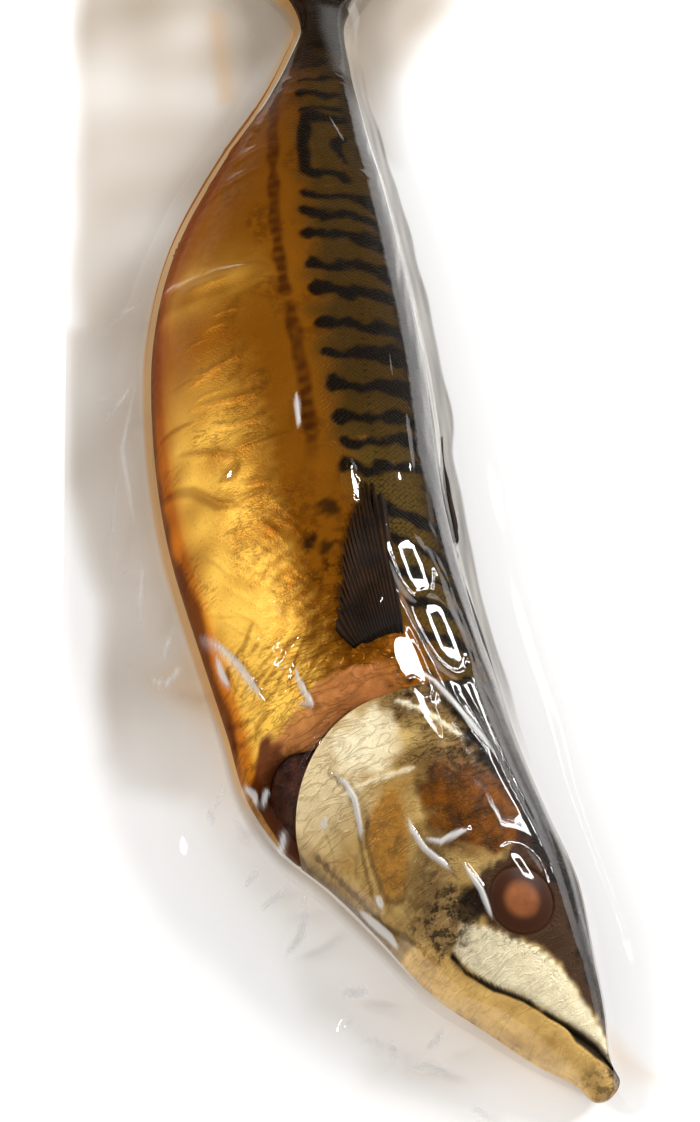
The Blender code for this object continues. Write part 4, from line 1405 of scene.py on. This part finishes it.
def marginMasks(rx, ry, away):
    # The film is painted grey on the belly's side and round the tail, darkest close to the fish: partly the film's
    # own grey, partly painted shadow of the fish on the table. Beside the back a thin band of it gets painted shade,
    # a dark line at its outer edge and a little white haze, for the look of film standing off the skin.
    # side is how far a place lies to the right of the fish's middle line.
    spineX, spineY = onTable(np.linspace(-40, 400, 300), np.zeros(300))
    order = np.argsort(spineY)
    side = rx - np.interp(ry, spineY[order], spineX[order])
    leftward = smooth(4, -2, side)
    broad = softField(rx, ry, 40.0, 93)
    wander = 0.7 * softField(rx, ry, 40.0, 95)
    # shade: painted shadow of the fish on the table, seen through the film, together with the film's grey, inside
    # greyShadowZone and greyShadowTop.
    shade = most(insideShape(rx + wander, ry, greyShadowZone, 4.0), insideShape(rx + wander, ry, greyShadowTop, 8.0))
    shade = shade * (0.62 + 0.22 * smooth(16, 3, away) * smooth(-60, -30, ry) + 0.10 * broad)
    shade = np.clip(shade * (1 - 0.70 * smooth(-60, -105, ry)) * (1 + 0.35 * smooth(110, 150, ry)), 0, 1)
    beside = smooth(0, 6, side) * smooth(-100, -60, ry) * smooth(120, 80, ry)
    reachOut = 3.4 + 0.4 * softField(rx, ry, 22.0, 94)
    band = beside * smooth(reachOut + 0.5, reachOut - 0.4, away)
    grain = 0.66 + 0.22 * softField(away * 6.0, ry * 0.5, 14.0, 96)
    creased = smooth(0.35, 0.95, marginFolds(rx, ry, False)) * smooth(16, 9, away)
    oil = most(*[insideShape(rx, ry, outline, edge) for outline, edge in oilSpots])
    browned = 0.85 * leftward * smooth(1.5 + 2.5 * smooth(30, 90, ry), 0.1, away) * smooth(-85, -65, ry)
    # Along the margin's creases the white haze is partly the film's whitening at its folds and partly painted
    # highlight.
    creaseWhiteAndGlint = 0.2 + 0.5 * smooth(30, 12, away) * smooth(-40, -75, ry)
    hazy = leftward * smooth(0, 6, away) * (0.03 + 0.10 * shade + creased * creaseWhiteAndGlint)
    # contactShadow: painted shadow close against the jaw's outline.
    contactShadow = 0.9 * leftward * smooth(2.2, 0.0, away) * smooth(-150, -130, ry)
    dull = most(
        0.96 * smooth(2, -4, side) * smooth(14, 7, away),
        0.92 * smooth(-2, 4, side) * smooth(3.0, 4.5, away),
    )
    sparkle = creased * smooth(4, 7, away) * (side < 0)
    ends = film["halfSize"][1] - np.abs(ry)
    return {
        "oil": most(0.3 * oil * smooth(-1, 2, away), browned),
        "hazeAndGlint": np.clip(hazy + 0.04 * band, 0, 1),
        "shadeTint": np.clip(most(smooth(-4, 3, away) * shade, contactShadow) + band, 0, 1),
        # outline: painted shade in the band beside the back, with a painted dark line at its outer edge.
        "outline": most(0.8 * beside * bump(away - reachOut, 0.4), band * grain),
        "shine": np.clip(1 - dull + 0.7 * sparkle, 0, 1),
        "seal": smooth(film["weld"] + 0.5, film["weld"] - 0.5, ends) * smooth(1.0, 2.0, ends),
    }


def buildMargin(material, border, anchors):
    # The empty film round the fish: rings of points that run from the fish's outline to the pouch's rectangle,
    # whose corners belong to the four anchors. It drops to the table close to the fish.
    inner, z = border[:, :2], border[:, 2]
    count = len(inner)
    half = np.array(film["halfSize"])
    corners = [half * (1, -1), half * (1, 1), half * (-1, 1), half * (-1, -1)]
    step = np.linalg.norm(np.roll(inner, -1, axis=0) - inner, axis=1)
    outer = np.zeros((count, 2))
    for k in range(4):
        ids = np.arange(anchors[k], anchors[(k + 1) % 4] + (count if k == 3 else 0) + 1) % count
        shareAlong = np.concatenate([[0], np.cumsum(step[ids[:-1]])])
        shareAlong = (shareAlong / shareAlong[-1])[:, None]
        outer[ids] = corners[k] * (1 - shareAlong) + corners[(k + 1) % 4] * shareAlong
    reach = np.linalg.norm(outer - inner, axis=1)
    stops = (np.arange(film["rings"] + 1) / film["rings"])[:, None] ** film["ringPower"]
    left = 1 - np.minimum(1.0, stops * reach / np.minimum(film["fall"], reach * 0.95))
    rx, ry = np.moveaxis(inner + (outer - inner) * stops[..., None], -1, 0)
    edge = np.minimum(half[0] - np.abs(rx), half[1] - np.abs(ry))
    away = stops * reach
    folds = marginFolds(rx, ry) * smooth(0.0, 6.0, away) * (0.15 + 0.85 * smooth(32, 16, away)) * smooth(0, 7, edge)
    low = 1.6 * left + 0.5
    ringZ = low + (z - low[0]) * left ** film["fallPower"] + folds + 0.4 * smooth(6, 0, edge)
    index = np.arange(rx.size).reshape(rx.shape)
    ahead = np.roll(index, -1, axis=1)
    faces = np.stack([index[:-1], index[1:], ahead[1:], ahead[:-1]], -1)
    mesh = makeMesh("filmMargin", np.stack([rx, ry, ringZ], -1).reshape(-1, 3), [faces.reshape(-1, 4)])
    putAttributes(mesh, marginMasks(rx, ry, away))
    addPiece("filmMargin", mesh, material)


# Table outlines of the film's painted grey and shadow and of its oily spots with their soft edges, in millimetres,
# and the film's folds: points, height and half width.
greyShadowZone = [
    (-63, 178), (-63, 36), (-66, 33), (-65, -10), (-61, -27), (-57, -43), (-56, -82), (-52, -89), (-37, -94), (
        -34, -104,
    ),
    (
        -26, -116,
    ), (-20, -122), (-14, -140), (-5, -147), (-4, -155), (11, -157), (27, -155), (10, -120), (0, 0), (0, 178),
]
greyShadowTop = [(-10, 178), (64, 178), (50, 150), (42, 136), (32, 125), (24, 111), (18, 80), (0, 80)]
oilSpots = [
    ([(-46, -64), (-36, -75), (-28, -82), (-26, -76), (-33, -63)], 3.0),
    ([(-26, 141), (-22, 141), (-20, 107), (-24, 106)], 2.0),
    ([(9, -140), (24, -152), (44, -156), (54, -158), (46, -150), (30, -146)], 3.0),
]
marginCreases = [
    ([(-36, -55), (-40, -58), (-42, -62)], 1.2, 0.8),
    ([(-46, -64), (-43, -66.5), (-40, -67.3), (-36.4, -64)], 1.4, 0.8),
    ([(-22.4, -111.8), (-26.1, -114.4)], 1.2, 0.7),
    ([(-14.6, -115.6), (-23.6, -119.3)], 0.9, 0.7),
    ([(-11.1, -113.7), (-13.1, -117.9), (-14.3, -121.0)], 1.8, 0.9),
    ([(-11.2, -114.8), (-11.3, -120.2)], 1.2, 0.7),
    ([(-7.6, -137.1), (-1.5, -138.2)], 1.8, 1.0),
    ([(6.5, -135.9), (7.3, -138.6)], 1.4, 0.8),
    ([(-5.5, -142.0), (-8.2, -146.2)], 1.8, 1.1),
    ([(1.9, -146.9), (2.9, -153.9)], 1.4, 0.8),
    ([(-27.5, -100.4), (-25.8, -105.0), (-24.2, -107.7)], 1.6, 0.8),
    ([(-33.4, -97.3), (-31.4, -100.8)], 1.2, 0.7),
    ([(-31.9, -97.8), (-28.1, -93.6)], 1.2, 0.7),
    ([(-62, 178), (-61, 88), (-62, 36)], 0.7, 0.9),
    ([(-64, 31), (-54, 34), (-44, 37)], 0.9, 0.9),
    ([(-51.7, -8.5), (-53.7, -32.8), (-56.5, -53.2)], 0.7, 0.9),
    ([(-58.9, -27.1), (-53.2, -58.5), (-51.0, -68.4)], 0.7, 0.8),
    ([(-44, 20), (-50.5, -6), (-47, -33)], 0.8, 0.9),
    ([(-25.6, 141), (-22.6, 129), (-22.3, 107)], 1.2, 0.8),
    ([(-27, 137), (-19, 123), (-16, 118)], 0.9, 0.6),
    ([(12, 113.6), (16, 123), (23, 135), (26, 150)], 1.4, 1.0),
    ([(-30, 160), (-22, 140), (-10, 122)], 0.8, 0.8),
]


def marginFolds(x, y, waves=True):
    # With waves: height of the empty film, from the creases above, crumples beside the jaw and on both sides, and
    # soft waves. Without: one on the middle of each crease.
    named = list(marginCreases)
    draw = np.random.default_rng(91)
    for _ in range(30):
        px, py = draw.uniform(-34, 24), draw.uniform(-168, -100)
        way, reach = draw.uniform(0, np.pi), draw.uniform(4, 13)
        mid = (px + 0.5 * reach * np.cos(way), py + 0.5 * reach * np.sin(way))
        end = (mid[0] + 0.5 * reach * np.cos(way + 0.5), mid[1] + 0.5 * reach * np.sin(way + 0.5))
        named.append(([(px, py), mid, end], draw.uniform(0.3, 0.9), draw.uniform(0.7, 1.1)))
    for _ in range(26):
        py = draw.uniform(-80, 180)
        right = draw.uniform(0, 1) > 0.5
        px = draw.uniform(34, 62) if right else draw.uniform(-62, -40)
        way, reach = draw.normal(0, 0.5) + (0 if right else np.pi), draw.uniform(6, 18)
        end = (px + reach * np.cos(way), py + reach * np.sin(way))
        named.append(([(px, py), end], draw.uniform(0.2, 0.6), draw.uniform(0.8, 1.3)))
    if not waves:
        return creaseHeight(x, y, [(line, 1.0, 0.9 * wide) for line, _, wide in named])
    return 0.5 * creaseHeight(x, y, named) + 0.55 * (0.5 + 0.5 * softField(x, y, 34.0, 92))


def buildUnderFilm(material, s, v, points, seam):
    # The lower film under the fish, lifted a little towards the outline; the pouch's empty margin is one sheet.
    rows, columns = [np.unique(np.append(np.arange(0, n, 3), n - 1)) for n in s.shape]
    pick = np.ix_(rows, columns)
    s, v, points, seam = s[pick], v[pick], points[pick].copy(), seam[pick]
    belly = np.clip(1 - np.clip(1 - s / 26.0, 0, 1) ** 3, 0, 1) ** 0.5 * (1 - np.abs(v) ** 3) ** 0.5
    points[..., 2] = np.maximum(0.12, 2.6 * seam / 15.0 * (1 - 1.12 * belly))
    mesh = makeMesh("filmUnderFish", points.reshape(-1, 3), [gridFaces(*s.shape)])
    nothing = np.zeros(s.size)
    clear = {name: nothing for name in ("hazeAndGlint", "shadeTint", "seal", "outline", "oil")}
    putAttributes(mesh, {**clear, "shine": nothing + 1})
    addPiece("filmUnderFish", mesh, material)


buildTone()
buildGrain()
finLook = finMaterial()
eyeLook = eyeMaterial()
buildBody(skinMaterial())
buildHead(headMaterial())
buildGillFlesh(gillMaterial())
buildEye(eyeLook, "eyeUpper", 1)
buildEye(eyeLook, "eyeLower", -1)
buildPectoral(finLook)
buildSpines(finLook)
buildEdgeFin("secondDorsalFin", finLook, 205.0, 226.0, 9, 1.8, 2.4, 1, 0.2)
buildEdgeFin("analFin", finLook, 212.0, 232.0, 9, 1.4, 2.4, -1, 0.2)
buildTail(finLook)
filmPart = buildFilm(filmMaterial())
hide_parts("sealed_smoked_mackerel")


# Floor, lights and camera. Places and sizes are in metres here, directions in degrees and powers in watts.

studio = {
    "floor": (0.93, 0.925, 0.92),
    "floorHalf": 3,
    "floorDown": -0.0004,
    "worldColour": (1.0, 0.99, 0.98),
    "world": 0.58,
    "target": (0.01, -0.07, 0.03),
    "lampDistance": 0.9,
    "frameSide": 0.28,
    "frameBar": 0.055,
    "framePower": 3.6 / 0.024,
    # Azimuth, elevation, size, power, offset, and whether it lights the fish alone.
    "lamps": {
        "leftLamp": (-72.0, 38.0, (0.30, 0.50), 5.0, (0.0, 0.0), True),
        "creaseLamp": (-82.0, 44.0, (0.05, 0.12), 1.2),
    },
    "frameAt": (66.0, 32.0),
    "lens": 1700.0 / 1122.0 * 36.0,
    "sensor": 36.0,
    "cameraPlace": (-0.0115, -0.222, 0.3504),
    "cameraTurn": (90 - 62.0, 0.0, -4.0),
}


def buildStudio():
    print("studio")
    scene = bpy.context.scene
    scene.view_settings.view_transform = "Standard"
    world = scene.world or bpy.data.worlds.new("studio")
    scene.world = world
    world.use_nodes = True
    background = world.node_tree.nodes["Background"]
    background.inputs[0].default_value = rgba(studio["worldColour"])
    background.inputs[1].default_value = studio["world"]
    world.cycles_visibility.glossy = False
    plane = bpy.data.meshes.new("floor")
    half, down = studio["floorHalf"], studio["floorDown"]
    corners = [(half * x, half * y, down) for x, y in ((-1, -1), (1, -1), (1, 1), (-1, 1))]
    plane.from_pydata(corners, [], [(0, 1, 2, 3)])
    floor = bpy.data.objects.new("floor", plane)
    scene.collection.objects.link(floor)
    look, _, shader = newMaterial("paleFloor")
    shader.inputs["Base Color"].default_value = rgba(studio["floor"])
    shader.inputs["Roughness"].default_value = 0.6
    plane.materials.append(look)


def areaLight(name, azimuth, elevation, size, power, offset=(0.0, 0.0), onlyFish=False):
    # A soft box seen from the target at the given direction; the offset moves it within its own plane.
    az, el = np.radians(azimuth), np.radians(elevation)
    way = Vector((np.sin(az) * np.cos(el), np.cos(az) * np.cos(el), np.sin(el)))
    target = Vector(studio["target"])
    place = target + way * studio["lampDistance"]
    turn = (target - place).to_track_quat("-Z", "Y")
    light = bpy.data.lights.new(name, "AREA")
    light.shape = "RECTANGLE"
    light.size, light.size_y = size
    light.energy = power
    lamp = bpy.data.objects.new(name, light)
    lamp.location = place + turn @ Vector((offset[0], offset[1], 0.0))
    lamp.rotation_mode = "QUATERNION"
    lamp.rotation_quaternion = turn
    bpy.context.scene.collection.objects.link(lamp)
    if onlyFish:
        lamp.light_linking.receiver_collection = bpy.data.collections["fishUnderFilm"]


def buildLights():
    # Four bars form an open frame, which shows as rings in the film. The lamp on the left lights the fish alone.
    linked = bpy.data.collections.new("fishUnderFilm")
    for piece in bpy.context.scene.objects:
        if piece.type == "MESH" and not piece.name.startswith("film"):
            linked.objects.link(piece)
    side, bar = studio["frameSide"], studio["frameBar"]
    lying, upright = (side, bar), (bar, side - bar)
    bars = [((0, side / 2), lying), ((0, -side / 2), lying), ((side / 2, 0), upright), ((-side / 2, 0), upright)]
    for k, (offset, size) in enumerate(bars):
        areaLight("frameLamp%d" % k, *studio["frameAt"], size, studio["framePower"] * size[0] * size[1], offset)
    for name, lamp in studio["lamps"].items():
        areaLight(name, *lamp)


def buildCamera():
    camera = bpy.data.cameras.new("camera")
    camera.lens = studio["lens"]
    camera.sensor_width = studio["sensor"]
    camera.clip_start = 0.01
    place = bpy.data.objects.new("camera", camera)
    place.location = studio["cameraPlace"]
    place.rotation_euler = np.radians(studio["cameraTurn"])
    bpy.context.scene.collection.objects.link(place)
    bpy.context.scene.camera = place


buildStudio()
buildLights()
buildCamera()
